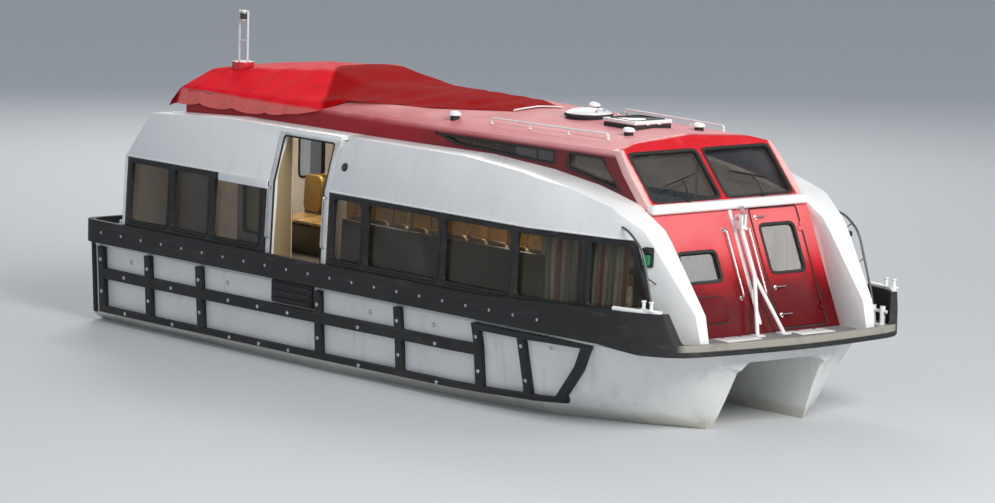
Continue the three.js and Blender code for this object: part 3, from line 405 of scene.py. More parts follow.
# Fender grids
# Black rubber bars on the hull sides keep the boat off the ship as it is lowered.
# They are bolted through the laminate, with the bolt heads sunk in steel cups.
GRID_BOLTS = [(x, z) for x in (-6.3, -5.09, -3.81, -1.01, 0.78, 2.47, 3.42) for z in (0.46, 0.93)]
GRID_BOLTS += [(x, z) for z in (0.195, 0.725) for x in (-5.7, -4.5, -3.1, -2.4, -1.7, -0.1, 1.6)]
GRID_BOLT = ((0.03, 0.006, 16, 0.003), (0.015, 0.01, 6, 0.001))    # cup, then head
GRID_INNER = 2.0              # no bolts where the bars bend further in than this
fender_bolts = bmesh.new()
for side, sign in SIDES.items():
    node = f"fender_grid_{side}"
    recast(node, 0.016, f"fenders_{side}", fender_finish, "fender_rubber")
    rubber_skin = skin(node)
    for x, z in GRID_BOLTS:
        face, out = abeam(rubber_skin, sign, x, z)
        if face and abs(face.y) > GRID_INNER:
            bolt(fender_bolts, face, out, *GRID_BOLT)
fit(fender_bolts, "fender_bolts", steel_finish, "steel")


# Corner fenders
# A round rubber post stands at each after corner of the hull, under the belt.
# It is clamped to the laminate, and takes the rub when the boat swings against the ship.
POST = [(0.0, 0.0), (0.045, 0.0), (0.055, 0.012), (0.055, 1.033), (0.045, 1.045), (0.0, 1.045)]
POST_X = -6.568
POST_WALL_X = -6.5            # where the hull's side is met, just forward of the transom
POST_ENDS = (0.12, 1.08)
POST_SUNK = 0.018
corner_fenders = bmesh.new()
for sign in SIDES.values():
    low, high = (abeam(hull_skin, sign, POST_WALL_X, z)[0] for z in POST_ENDS)
    foot = Vector((POST_X, low.y - sign * POST_SUNK, low.z))
    turned(corner_fenders, POST, foot, (0.0, high.y - low.y, high.z - low.z))
fit(corner_fenders, "corner_fenders", fender_finish, "fender_rubber")


# Window band
# Dark acrylic-faced side walls run from the stern to the foredeck in three panels a side.
# The glass is let into them, and dust and dried rain dull their gloss.
def band_face():
    """Near-black glossy facing under a film of dust and thin rain runs."""
    finish, place = workbench("window_band")
    dust = ramp(grain(place, 2.4, 6.0), 0.4, 0.8)
    runs = ramp(grain(place, 5.0, 5.0, (2.0, 2.0, 0.12)), 0.55, 0.8)
    colour = tint(dust * 0.35, (0.014, 0.011, 0.01), (0.055, 0.05, 0.046))
    colour = tint(runs * 0.3, colour, (0.12, 0.115, 0.11))
    return shade(finish, colour, 0.2 + dust * 0.2 + runs * 0.1, grain(place, 1.5, 2.0), 0.003)


band_finish = band_face()
for side in SIDES:
    for panel in ("aft", "forward", "bow"):
        recast(f"side_wall_{panel}_{side}", 0.006, f"band_{panel}_{side}", band_finish, "window_band")


# Window seals
# Every side window is set in a black rubber seal, pressed over the edge of its opening from outside.
# The corners are round, and a harder key strip in the seal's groove spreads it against the pane.
WALL_ROWS = ((-5.9, 2.249, 2.2, 1.96), (3.4, 2.249, 2.2, 1.95), (4.8, 1.99, 1.92, 1.76),
             (5.21, 1.81, 1.75, 1.63), (6.2, 1.51, 1.5, 1.48))    # x, then y at the three heights
WALL_HEIGHTS = (1.5, 2.5, 3.4)
WALL_BENDS = (3.4, 4.8)
SIDE_WINDOWS = ((-5.65, -4.69), (-4.6, -3.72), (-3.62, -2.48), (-0.82, -0.15), (-0.05, 1.55),
                (1.65, 3.08), (3.18, 4.33))
SILL, HEAD = 1.56, 2.44
RAKED_WINDOW = [(4.43, SILL), (5.4, SILL + 0.06), (5.08, HEAD), (4.43, HEAD)]
SEAL_WIDTH = 0.05
SEAL_LAP = 0.026              # how far the seal reaches over the wall
SEAL_ROUND = 0.11
KEY_WIDTH = 0.011


def along_rows(rows, x):
    """The measures of a table of rows, each led by its x, at any place between them."""
    pairs = list(zip(rows, rows[1:]))
    near, far = next((pair for pair in pairs if x <= pair[1][0]), pairs[-1])
    share = (x - near[0]) / (far[0] - near[0])
    return [start + (end - start) * share for start, end in zip(near[1:], far[1:])]


def wall_at(x, z):
    """How far the side of the cabin lies off the centreline."""
    foot, band, top = along_rows(WALL_ROWS, x)
    low, middle, high = WALL_HEIGHTS
    if z < middle:
        return foot + (band - foot) * max(0.0, z - low) / (middle - low)
    return band + (top - band) * (z - middle) / (high - middle)


def on_side(sign):
    """Lays (x, z, proud) on the outside of the cabin's port or starboard side."""
    return lambda x, z, proud: Vector((x, sign * (wall_at(x, z) + proud), z))


def grown(corners, by):
    """The corners of a convex outline, each edge moved out."""
    middle = sum((Vector(corner) for corner in corners), Vector((0.0, 0.0))) / len(corners)
    lines = []
    for start, end in zip(corners, corners[1:] + corners[:1]):
        along = (Vector(end) - Vector(start)).normalized()
        out = Vector((along.y, -along.x))
        out = out if out.dot(Vector(start) - middle) > 0.0 else -out
        lines.append((Vector(start) + out * by, along))
    moved = []
    for (a, da), (b, db) in zip(lines[-1:] + lines[:-1], lines):
        reach = (b - a).cross(db) / da.cross(db)
        moved.append(tuple(a + da * reach))
    return moved


def rectangle(x0, x1, z0, z1):
    """The four corners of an upright outline."""
    return [(x0, z0), (x1, z0), (x1, z1), (x0, z1)]


def plate(bm, corners, lay, low, high, radius=0.0, width=0.0, edge=0.0, cuts=(), levels=(), steps=5):
    """A flat plate laid on a face of the boat, from low to high over it. A radius rounds its
    corners, a width leaves only a ring of it, and edge eases its rim. Cuts along u and levels
    along v let it follow a face that bends there."""
    flat = bmesh.new()
    ring = [flat.verts.new((u, v, low)) for u, v in corners]
    flat.faces.new(ring)
    if radius:
        bevel(flat, ring, radius, steps, "VERTICES")
    if width:
        core = flat.faces[:]
        bmesh.ops.inset_region(flat, faces=core, thickness=width, use_boundary=True, use_even_offset=True)
        bmesh.ops.delete(flat, geom=core, context="FACES_ONLY")
    for place, facing in [((u, 0, 0), (1, 0, 0)) for u in cuts] + [((0, v, 0), (0, 1, 0)) for v in levels]:
        whole = flat.verts[:] + flat.edges[:] + flat.faces[:]
        bmesh.ops.bisect_plane(flat, geom=whole, plane_co=place, plane_no=facing)
    raised = bmesh.ops.extrude_face_region(flat, geom=flat.faces[:])["geom"]
    lifted = [v for v in raised if isinstance(v, bmesh.types.BMVert)]
    bmesh.ops.translate(flat, verts=lifted, vec=(0.0, 0.0, high - low))
    if edge:
        rim = [e for e in flat.edges if e.is_manifold and e.calc_face_angle() > 0.8
               and all(abs(v.co.z - high) < 1e-6 for v in e.verts)]
        bevel(flat, rim, edge)
    for corner in flat.verts:
        corner.co = lay(*corner.co)
    return pour(flat, bm)


seal_finish = rubber("seal_rubber")
seals = bmesh.new()
for sign in SIDES.values():
    for outline in [rectangle(x0, x1, SILL, HEAD) for x0, x1 in SIDE_WINDOWS] + [RAKED_WINDOW]:
        bends = [x for x in WALL_BENDS if outline[0][0] < x < outline[1][0]]
        plate(seals, grown(outline, SEAL_LAP), on_side(sign), -0.05, 0.007, SEAL_ROUND, SEAL_WIDTH,
              0.004, bends)
        plate(seals, grown(outline, SEAL_LAP - 0.017), on_side(sign), 0.004, 0.011, SEAL_ROUND - 0.01,
              KEY_WIDTH, 0.003, bends)
fit(seals, "side_window_seals", seal_finish, "fender_rubber")


# Window panes
# Sheets of tinted safety glass lie inside the seals: brown in the band, grey in the front, and dark
# red in the clerestory, under the roof. Dust and dried spray lie on them.
PANES = {"side_glass_aft_port": "side", "side_glass_aft_starboard": "side",
         "side_glass_forward_port": "side", "side_glass_forward_starboard": "side",
         "clerestory_glass_port": "roof", "clerestory_glass_starboard": "roof",
         "front_window_glass": "front", "front_door_glass": "front", "windscreen_glass": "front"}


def glass(name, colour, clear, salt_from=None):
    """Tinted safety glass, dulled by dust and dried spray, and forward of salt_from by salt."""
    finish, place = workbench(name)
    salt = ramp(axes(place)[0], salt_from, salt_from + 0.05) if salt_from else 0.0
    film = ramp(grain(place, 2.0, 6.0), 0.42, 0.85)
    drops = ramp(grain(place, 42.0, 2.0), 0.6, 0.75)
    alpha = film * 0.1 + drops * 0.02 + (1.0 - clear)
    tone = tint(film * 0.3 + salt * 0.4, colour, (0.22, 0.21, 0.19))
    return shade(finish, tone, film * 0.15 + 0.04, Alpha=alpha, Specular_IOR_Level=0.7)


side_glass_finish = glass("side_glass", (0.028, 0.022, 0.014), 0.58)
pane_finishes = {"side": side_glass_finish, "front": glass("front_glass", (0.016, 0.02, 0.028), 0.32),
                 "roof": glass("roof_glass", (0.034, 0.008, 0.008), 0.24, salt_from=3.1)}
for pane, kind in PANES.items():
    nodes[pane].material_slots[0].material = pane_finishes[kind]


# Shoulders and wings
# Thick white mouldings carry the roof over the window band, and the wings sweep down to the foredeck.
# A half-round drip rail is bonded along their lower edge, and a deck lamp is let in by each doorway.
DRIP_RUNS = ((-5.73, -4.0, -2.34), (-0.9, 1.2, 3.4, 4.1, 4.8, 5.11))
DRIP_Z = 2.508
HEADER = rectangle(-3.5, -2.34, 2.39, 2.505)    # over the window that the open door stands behind
WING_LAMP = (-0.70, 2.86)


def rounded(points, radius, steps=4):
    """A path with its corners drawn round."""
    path = [Vector(points[0])]
    for before, corner, after in zip(points, points[1:], points[2:]):
        corner = Vector(corner)
        back, ahead = Vector(before) - corner, Vector(after) - corner
        start = corner + back.normalized() * min(radius, back.length * 0.45)
        end = corner + ahead.normalized() * min(radius, ahead.length * 0.45)
        for k in range(steps + 1):
            share = k / steps
            path.append(start.lerp(corner, share).lerp(corner.lerp(end, share), share))
    path.append(Vector(points[-1]))
    return path


def tube(bm, path, radius, sides=10):
    """A round bar along a path, with closed ends."""
    bar = bmesh.new()
    turn = Quaternion()
    loops = []
    for k, point in enumerate(path):
        ahead = Vector(path[min(k + 1, len(path) - 1)]) - Vector(path[max(k - 1, 0)])
        turn = (turn @ Vector((0.0, 0.0, 1.0))).rotation_difference(ahead.normalized()) @ turn
        place = Matrix.Translation(Vector(point)) @ turn.to_matrix().to_4x4()
        ring = bmesh.ops.create_circle(bar, cap_ends=k in (0, len(path) - 1), segments=sides, radius=radius,
                                       matrix=place)["verts"]
        loops.append(list({edge for corner in ring for edge in corner.link_edges}))
    for near, far in zip(loops, loops[1:]):
        bmesh.ops.bridge_loops(bar, edges=near + far)
    return pour(bar, bm)


black_plastic = rubber("black_plastic")
trim = bmesh.new()
lamp_rings = bmesh.new()
lamp_glass = bmesh.new()
for side, sign in SIDES.items():
    for node in ("shoulder_aft", "wing"):
        recast(f"{node}_{side}", 0.03, f"{node}_moulding_{side}", white_finish, "white_gelcoat", steps=3)
    for run in DRIP_RUNS:
        tube(trim, [on_side(sign)(x, DRIP_Z, 0.002) for x in run], 0.013)
    plate(trim, HEADER, on_side(sign), -0.004, 0.016, 0.02, edge=0.006)
    face, out = abeam(skin(f"wing_{side}"), sign, *WING_LAMP)
    disc(lamp_rings, face - out * 0.004, out, 0.062, 0.022, 28, 0.008)
    disc(lamp_glass, face, out, 0.044, 0.022, 28, 0.004)
fit(trim, "cabin_side_trim", white_finish, "white_gelcoat")
fit(lamp_rings, "deck_lamp_rings", black_plastic, "fender_rubber")
fit(lamp_glass, "deck_lamp_glass", glass("lamp_glass", (0.05, 0.055, 0.06), 0.1), "tinted_glass")


# Sidelights
# A black housing is screwed to each wing near the bow, with a moulded lens: red to port and green
# to starboard. A small visor over the lens keeps its light from the helm.
SIDELIGHT = rectangle(5.25, 5.39, 2.17, 2.43)
SIDELIGHT_VISOR = rectangle(5.255, 5.385, 2.35, 2.42)
SIDELIGHT_LENS = rectangle(5.27, 5.37, 2.19, 2.34)
LENS_TONES = {"port": (0.5, 0.01, 0.01), "starboard": (0.02, 0.32, 0.12)}
housings = bmesh.new()
for side, sign in SIDES.items():
    plate(housings, SIDELIGHT, on_side(sign), -0.01, 0.035, 0.02, edge=0.008)
    plate(housings, SIDELIGHT_VISOR, on_side(sign), 0.03, 0.075, 0.015, edge=0.008)
    lens = plate(bmesh.new(), SIDELIGHT_LENS, on_side(sign), 0.03, 0.062, 0.03, edge=0.014)
    fit(lens, f"sidelight_{side}", glass(f"lens_{side}", LENS_TONES[side], 0.25), "tinted_glass")
fit(housings, "sidelight_housings", black_plastic, "fender_rubber")


# Wing rails
# A dark painted bar runs down outboard of each wing, from a foot on the deck to the wing's crown.
# People hold it while they go forward from the side deck.
WING_RAIL = ((5.72, 1.93, DECK), (5.67, 1.92, 1.55), (5.38, 1.9, 2.42), (5.1, 1.89, 2.62),
             (4.86, 1.83, 2.66))
RAIL_STAYS = ((5.5, 2.06), (5.24, 2.5))
wing_rails = bmesh.new()
for sign in SIDES.values():
    line = [(x, sign * y, z) for x, y, z in WING_RAIL]
    tube(wing_rails, rounded(line, 0.14), 0.016, 12)
    disc(wing_rails, line[0], (0, 0, 1), 0.045, 0.008, 20, 0.002)
    for x, z in RAIL_STAYS:
        tube(wing_rails, [on_side(sign)(x - 0.06, z - 0.1, -0.01), (x, sign * 1.905, z)], 0.01)
fit(wing_rails, "wing_rails", steel_polish("painted_rail", (0.13, 0.14, 0.14), 0.35, 0.6), "steel")


# Side doorways
# White posts and a lintel frame each opening, with a rubber lip round it, a tread plate on the sill
# and a steel bar to hold at each side. Below hangs a rubber-faced boarding step.
DOORWAY = rectangle(-2.19, -1.05, 1.225, 3.14)
DOORWAY_BARS = (-2.262, -0.978)
BAR_ENDS = (1.72, 2.42)
TREAD = ((-2.17, 1.93), (-1.07, 2.245))
TREAD_RIBS = [1.96 + 0.043 * k for k in range(7)]
STEP = ((-2.1, 2.19, 0.84), (-1.16, 2.3, 1.16))
STEP_RIBS = (0.9, 1.0, 1.1)


def grab(bm, start, end, out, rise=0.06, radius=0.012):
    """A bent bar on two round feet, to hold on to or to pull."""
    start, end, out = Vector(start), Vector(end), Vector(out).normalized()
    tube(bm, rounded([start, start + out * rise, end + out * rise, end], rise * 0.7), radius)
    for foot in (start, end):
        disc(bm, foot - out * 0.001, out, radius * 2.3, 0.006, 16, 0.002)
    return bm


def frame_coat():
    """White gelcoat, rubbed brown in places, and painted brown shade on the faces inside the opening."""
    finish, place = workbench("doorway_gelcoat")
    along, across, height = axes(place)
    lean = ramp(height, 1.5, 2.5) * 0.049 + ramp(height, 2.5, 3.4) * 0.24
    # Painted shade: the jamb faces inside the doorway are painted brown, where the opening shades them.
    jamb_shade = ramp(2.249 - lean - abs(across), 0.05, 0.06)
    jamb_shade = jamb_shade * ramp(along, -2.22, -2.2) * ramp(along, -1.02, -1.04)
    rubbed = ramp(grain(place, 4.0, 6.0), 0.45, 0.8)
    colour = tint(jamb_shade, (0.72, 0.73, 0.73), (0.3, 0.24, 0.14))
    colour = tint(rubbed * 0.35, colour, (0.25, 0.21, 0.15))
    return shade(finish, colour, rubbed * 0.2 + 0.35, grain(place, 60.0), 0.0006)


frame_finish = frame_coat()
lips = bmesh.new()
bars = bmesh.new()
steps = bmesh.new()
treads = bmesh.new()
for side, sign in SIDES.items():
    recast(f"door_frame_{side}", 0.008, f"doorway_{side}", frame_finish, "white_gelcoat")
    plate(lips, grown(DOORWAY, 0.022), on_side(sign), -0.012, 0.006, 0.05, 0.026, 0.003,
          levels=WALL_HEIGHTS[:2])
    for x in DOORWAY_BARS:
        foot, head = (on_side(sign)(x, z, 0.0) for z in BAR_ENDS)
        grab(bars, foot, head, (0, sign, 0), 0.055, 0.013)
    (x0, y0), (x1, y1) = TREAD
    slab(treads, (x0, sign * y0, DECK + 0.001), (x1, sign * y1, DECK + 0.007), 0.002)
    for rib in TREAD_RIBS:
        slab(treads, (x0 + 0.04, sign * rib - 0.006, DECK + 0.006),
             (x1 - 0.04, sign * rib + 0.006, DECK + 0.011), 0.002)
    (x0, y0, z0), (x1, y1, z1) = STEP
    slab(steps, (x0, sign * y0, z0), (x1, sign * y1, z1), 0.02)
    for z in STEP_RIBS:
        slab(steps, (x0 + 0.04, sign * (y1 - 0.01), z - 0.018),
             (x1 - 0.04, sign * (y1 + 0.025), z + 0.018), 0.01)
fit(lips, "doorway_lips", seal_finish, "fender_rubber")
fit(bars, "doorway_bars", steel_finish, "steel")
fit(treads, "doorway_treads", steel_finish, "steel")
fit(steps, "boarding_steps", rubber("step_rubber"), "fender_rubber")


# Sliding side doors
# Each leaf is a white moulding with a tinted pane in a rubber seal. It has a beige lining, a steel
# pull inside and a sunk black pull outside. It slides aft in a channel, on two shoes on a floor rail.
LEAF_IN, LEAF_OUT = 1.84, 1.89
LEAF_PANE = rectangle(-3.33, -2.39, 1.66, 2.44)
LEAF_LININGS = (rectangle(-3.43, -2.29, 1.28, 1.61), rectangle(-3.43, -2.29, 2.5, 3.06))
SUNK_PULL = rectangle(-2.35, -2.28, 1.88, 2.1)
PULL_X = -2.315


def upright(sign, off):
    """Lays (x, z, proud) on an upright plane at some distance off the centreline."""
    return lambda x, z, proud: Vector((x, sign * (off + proud), z))


seat_finish = gelcoat("seat_beige", (0.6, 0.42, 0.18), 0.1)
for side, sign in SIDES.items():
    body = f"side_door_{side}"
    recast(body, 0.008, f"door_leaf_{side}", white_finish, "white_gelcoat", body)
    on_leaf = upright(sign, LEAF_OUT)
    pane = plate(bmesh.new(), LEAF_PANE, on_leaf, -0.03, -0.022)
    fit(pane, f"door_pane_{side}", side_glass_finish, "tinted_glass", body)
    rubbers = plate(bmesh.new(), grown(LEAF_PANE, 0.018), on_leaf, -0.052, 0.0025, 0.09, 0.036, 0.002)
    plate(rubbers, SUNK_PULL, on_leaf, -0.004, 0.002, 0.03, 0.012, 0.001)
    fit(rubbers, f"door_rubbers_{side}", seal_finish, "fender_rubber", body)
    lining = bmesh.new()
    for panel in LEAF_LININGS:
        plate(lining, panel, on_leaf, -0.056, -0.049, 0.04, edge=0.003)
    fit(lining, f"door_lining_{side}", seat_finish, "seat_beige", body)
    pull = grab(bmesh.new(), (PULL_X, sign * LEAF_IN, 1.9), (PULL_X, sign * LEAF_IN, 2.25), (0, -sign, 0),
                0.045, 0.011)
    fit(pull, f"door_pull_{side}", steel_finish, "steel", body)


# Aft bulkhead
# A white moulding closes the cabin behind a sheltered after deck. In it are a louvred air inlet
# and a locker lid with two latches, and two steel bars to hold are bolted beside the door.
BULKHEAD = -5.15
AFT_DOOR = rectangle(0.28, 1.02, 1.26, 3.09)
INLET = rectangle(-1.0, -0.35, 2.45, 2.85)
LOUVRE = ((-0.011, -0.61, -0.005), (0.011, 0.0, 0.005))
LOUVRE_TILT = 0.7
LOUVRES_AT = [2.5 + k * 0.056 for k in range(6)]
AFT_LOCKER = rectangle(-1.0, -0.35, 1.4, 1.95)
AFT_LATCHES = ((-0.42, 1.55), (-0.42, 1.8))
AFT_BARS = (0.12, -0.22)
AFT_BAR_ENDS = (1.7, 2.5)


def on_bulkhead(y, z, out):
    """Lays (across, up, proud) on the after face of the bulkhead."""
    return Vector((BULKHEAD - out, y, z))


recast("aft_wall", 0.01, "aft_wall_moulding", white_finish, "white_gelcoat")
aft_fittings = bmesh.new()
aft_rubbers = bmesh.new()
aft_steel = bmesh.new()
plate(aft_fittings, INLET, on_bulkhead, -0.004, 0.02, 0.03, 0.035, 0.005)
for z in LOUVRES_AT:
    louvre = slab(bmesh.new(), *LOUVRE, 0.002)
    place = Matrix.Translation((BULKHEAD - 0.004, -0.37, z)) @ Matrix.Rotation(LOUVRE_TILT, 4, "Y")
    bmesh.ops.transform(louvre, matrix=place, verts=louvre.verts)
    pour(louvre, aft_fittings)
plate(aft_fittings, AFT_LOCKER, on_bulkhead, -0.002, 0.018, 0.05, edge=0.006)
plate(aft_rubbers, grown(INLET, -0.02), on_bulkhead, -0.002, 0.002, 0.02)
plate(aft_rubbers, grown(AFT_LOCKER, 0.01), on_bulkhead, -0.002, 0.006, 0.05)
plate(aft_rubbers, grown(AFT_DOOR, 0.03), on_bulkhead, -0.004, 0.005, 0.06, 0.022, 0.002)
for y, z in AFT_LATCHES:
    disc(aft_steel, on_bulkhead(y, z, 0.018), (-1, 0, 0), 0.024, 0.012, 20, 0.003)
for y in AFT_BARS:
    grab(aft_steel, *(on_bulkhead(y, z, 0.0) for z in AFT_BAR_ENDS), (-1, 0, 0), 0.06, 0.014)
fit(aft_fittings, "bulkhead_fittings", white_finish, "white_gelcoat")
fit(aft_rubbers, "bulkhead_rubbers", seal_finish, "fender_rubber")
fit(aft_steel, "bulkhead_steel", steel_finish, "steel")


# Aft door
# A white moulded door hangs at the bulkhead's port side and opens over the after deck.
# It has a tinted pane in a rubber seal, and a steel lever.
AFT_PANE = rectangle(0.42, 0.88, 2.1, 2.8)
AFT_LEVER = (0.345, 2.0, 0.0)


def lever(bm, root, out, along):
    """A rose, a short neck and a bent lever."""
    root, out, along = Vector(root), Vector(out).normalized(), Vector(along).normalized()
    disc(bm, root - out * 0.001, out, 0.032, 0.01, 24, 0.004)
    return tube(bm, rounded([root, root + out * 0.05, root + out * 0.05 + along * 0.15], 0.03), 0.0095)


recast("aft_door", 0.01, "aft_door_moulding", white_finish, "white_gelcoat", "aft_door")
aft_pane = plate(bmesh.new(), AFT_PANE, on_bulkhead, -0.026, -0.018)
fit(aft_pane, "aft_door_pane", side_glass_finish, "tinted_glass", "aft_door")
aft_seal = plate(bmesh.new(), grown(AFT_PANE, 0.018), on_bulkhead, -0.049, 0.005, 0.09, 0.036, 0.003)
fit(aft_seal, "aft_door_seal", seal_finish, "fender_rubber", "aft_door")
aft_lever = lever(bmesh.new(), on_bulkhead(*AFT_LEVER), (-1, 0, 0), (0, 1, 0))
fit(aft_lever, "aft_door_lever", steel_finish, "steel", "aft_door")


# Red front
# A raked red moulding closes the cabin over the foredeck, painted pink higher up as a painted highlight and
# dark below as painted shade.
# It holds one pane, a locker lid and the boarding door, with a white joint strip down the middle.
# White returns close it to the wings at both sides.
FRONT_FOOT = Vector((5.63, 0.0, 1.21))
FRONT_SILL = Vector((4.87, 0.0, 2.84))
FRONT_PANE = rectangle(-1.08, -0.43, 0.76, 1.18)
FRONT_DOOR = rectangle(0.35, 1.15, 0.06, 1.69)
FRONT_LOCKER = rectangle(-1.0, -0.5, 0.2, 0.55)
JOINT_STRIP = rectangle(-0.028, 0.028, 0.12, 1.72)
FRONT_BARS = (0.2, -0.2)
FRONT_BAR_ENDS = (0.5, 1.45)
RETURN = [(5.59, 1.216), (5.62, 1.216), (5.15, 2.51), (4.985, 2.51)]
RETURN_OFF = 1.382


def raked(foot, head, facing=1):
    """A sloping face: what lays (across, up, proud) on it, and the way out of it."""
    up = (head - foot).normalized()
    out = Vector((0.0, facing, 0.0)).cross(up)
    return lambda y, rise, proud: foot + Vector((0.0, y, 0.0)) + up * rise + out * proud, out


def red_coat(name, shading_height=0.0, highlit_edge=None):
    """Red gelcoat, chalky in places, with a pink painted highlight high up, dark painted shade low down, and
    a pale painted highlight along one edge.
    """
    finish, place = workbench(name)
    _, across, height = axes(place)
    chalk = ramp(grain(place, 1.6, 6.0), 0.4, 0.78)
    runs = ramp(grain(place, 3.0, 5.0, (2.0, 2.0, 0.16)), 0.52, 0.8)
    colour = tint(chalk * 0.4, (0.58, 0.014, 0.022), (0.7, 0.045, 0.055))
    colour = tint(runs * 0.22, colour, (0.76, 0.12, 0.12))
    if shading_height:
        # Painted highlight: above the shading height the red is painted pink, as if lit from above.
        high = ramp(height + grain(place, 1.3, 5.0, (1.0, 1.0, 0.5)) * 0.5, shading_height + 0.2, shading_height + 0.85)
        colour = tint(high * 0.55, colour, (0.82, 0.24, 0.25))
        # Painted shade: below the shading height the red is painted nearly black.
        low = ramp(height + grain(place, 2.2, 4.0) * 0.5, shading_height + 0.55, shading_height - 0.1)
        colour = tint(low * 0.92, colour, (0.07, 0.003, 0.005))
    if highlit_edge:
        # Painted highlight: the outer edges beyond the given distance from the centreline are painted pale
        # pink, as if lit.
        worn = ramp(abs(across) + grain(place, 9.0, 4.0) * 0.05, highlit_edge, highlit_edge + 0.05)
        colour = tint(worn * 0.75, colour, (0.86, 0.62, 0.6))
    return shade(finish, colour, 0.38 + chalk * 0.15 + runs * 0.1, grain(place, 0.9, 2.0), 0.003,
                 Specular_IOR_Level=0.14)


on_front, FRONT_OUT = raked(FRONT_FOOT, FRONT_SILL)
front_finish = red_coat("red_front", shading_height=1.95)
recast("front_wall", 0.01, "front_moulding", front_finish, "red_gelcoat")
returns = bmesh.new()
for sign in SIDES.values():
    plate(returns, RETURN, upright(sign, RETURN_OFF), 0.0, 0.055, edge=0.002)
fit(returns, "front_corner_returns", white_finish, "white_gelcoat")
front_trim = plate(bmesh.new(), JOINT_STRIP, on_front, -0.004, 0.014, 0.02, edge=0.005)
fit(front_trim, "front_trim", white_finish, "white_gelcoat")
locker_lid = plate(bmesh.new(), FRONT_LOCKER, on_front, -0.004, 0.012, 0.05, edge=0.004)
fit(locker_lid, "front_locker_lid", front_finish, "red_gelcoat")
front_rubbers = bmesh.new()
plate(front_rubbers, grown(FRONT_LOCKER, 0.016), on_front, -0.004, 0.006, 0.06, 0.015, 0.002)
plate(front_rubbers, grown(FRONT_PANE, 0.022), on_front, -0.045, 0.008, 0.09, 0.045, 0.004)
plate(front_rubbers, grown(FRONT_DOOR, 0.034), on_front, -0.004, 0.005, 0.07, 0.024, 0.002)
fit(front_rubbers, "front_rubbers", seal_finish, "fender_rubber")
front_steel = bmesh.new()
for y in FRONT_BARS:
    grab(front_steel, *(on_front(y, up, 0.0) for up in FRONT_BAR_ENDS), FRONT_OUT, 0.06, 0.014)
fit(front_steel, "front_bars", steel_finish, "steel")


# Front door
# The boarding door is hinged at its port edge and shuts flush in the raked front.
# A tinted pane in a rubber seal, a lever handle and two dogs are on its face.
FRONT_DOOR_PANE = rectangle(0.44, 1.05, 0.8, 1.48)
FRONT_LEVERS = ((0.43, 0.6), (0.41, 0.22), (0.41, 1.58))
recast("front_door", 0.01, "front_door_moulding", front_finish, "red_gelcoat", "front_door")
door_seal = plate(bmesh.new(), grown(FRONT_DOOR_PANE, 0.02), on_front, -0.042, 0.008, 0.1, 0.042, 0.004)
fit(door_seal, "front_door_seal", seal_finish, "fender_rubber", "front_door")
door_steel = bmesh.new()
for y, up in FRONT_LEVERS:
    lever(door_steel, on_front(y, up, 0.0), FRONT_OUT, (0, 1, 0))
fit(door_steel, "front_door_steel", steel_finish, "steel", "front_door")


# Windscreen
# Two raked panes stand in a red frame above a thick white sill, which carries the wiper motors.
# The frame's outer edges are painted pale as a painted highlight, and each pane has a wiper on a sprung arm.
SCREEN_BROW = Vector((4.13, 0.0, 3.64))
SCREEN_PANE = rectangle(0.045, 1.23, 0.102, 0.913)
SCREEN_SILL = ((4.8, -1.365, 2.775), (4.965, 1.365, 2.9))
WIPER_MOTOR = (0.66, 0.07, -0.004)
WIPER_ARM = ((0.66, 0.07, 0.042), (0.63, 0.24, 0.075), (0.6, 0.42, 0.055))
WIPER_YOKE = ((0.86, 0.36, 0.03), (0.6, 0.42, 0.055), (0.34, 0.5, 0.03))
WIPER_BLADE = ((0.9, 0.35, 0.016), (0.3, 0.51, 0.016))


def mirrored(lay, sign):
    """The same way to lay points, turned over for the starboard side."""
    return lambda y, up, out: lay(sign * y, up, out)


on_screen, SCREEN_OUT = raked(FRONT_SILL, SCREEN_BROW)
screen_finish = red_coat("red_screen", highlit_edge=1.27)
recast("windscreen_frame", 0.01, "windscreen_moulding", screen_finish, "red_gelcoat")
screen_seals = bmesh.new()
wipers = bmesh.new()
for sign in SIDES.values():
    lay = mirrored(on_screen, sign)
    plate(screen_seals, grown(SCREEN_PANE, 0.016), lay, -0.05, 0.008, 0.1, 0.045, 0.004)
    disc(wipers, lay(*WIPER_MOTOR), SCREEN_OUT, 0.028, 0.045, 20, 0.006)
    tube(wipers, rounded([lay(*bend) for bend in WIPER_ARM], 0.05), 0.008)
    tube(wipers, [lay(*bend) for bend in WIPER_YOKE], 0.006)
    tube(wipers, [lay(*end) for end in WIPER_BLADE], 0.009, 6)
fit(screen_seals, "windscreen_seals", seal_finish, "fender_rubber")
fit(wipers, "wipers", black_plastic, "fender_rubber")
fit(slab(bmesh.new(), *SCREEN_SILL, 0.035, 4), "windscreen_sill", white_finish, "white_gelcoat")


# Roof
# One red moulding, sun-bleached to pink and nearly white towards the windscreen, with a coarse
# non-slip texture. Its clerestory windows are bedded in rubber, and low rails run along its edges.
TRUNK_ROWS = ((-5.6, 1.6, 1.56, 3.5), (-0.5, 1.6, 1.56, 3.52), (4.15, 1.375, 1.325, 3.54),
              (5.8, 1.35, 1.3, 3.54))    # x, then y at the foot and the edge, and the edge's height
TRUNK_FOOT = 3.25
CLERESTORY = ([(1.0, 3.33), (0.62, 3.43), (2.99, 3.43), (2.99, 3.255)],
              [(3.23, 3.235), (3.23, 3.43), (3.9, 3.43), (4.27, 3.04)])
RAIL_POSTS = ((1.35, 1.18), (2.1, 1.13), (2.85, 1.08), (3.6, 1.02))
RAIL_RISE = 0.075
UP = Vector((0.0, 0.0, 1.0))


def on_trunk(sign):
    """Lays (x, z, proud) on the upright side under the roof's edge."""
    def lay(x, z, proud):
        foot, edge, top = along_rows(TRUNK_ROWS, x)
        lean = max(0.0, z - TRUNK_FOOT) / (top - TRUNK_FOOT)
        return Vector((x, sign * (foot + (edge - foot) * lean + proud), z))
    return lay


def above(surface, x, y):
    """Where a plumb line from above meets a surface."""
    return meet(surface, (x, y, OUTSIDE), (0, 0, -1))[0]


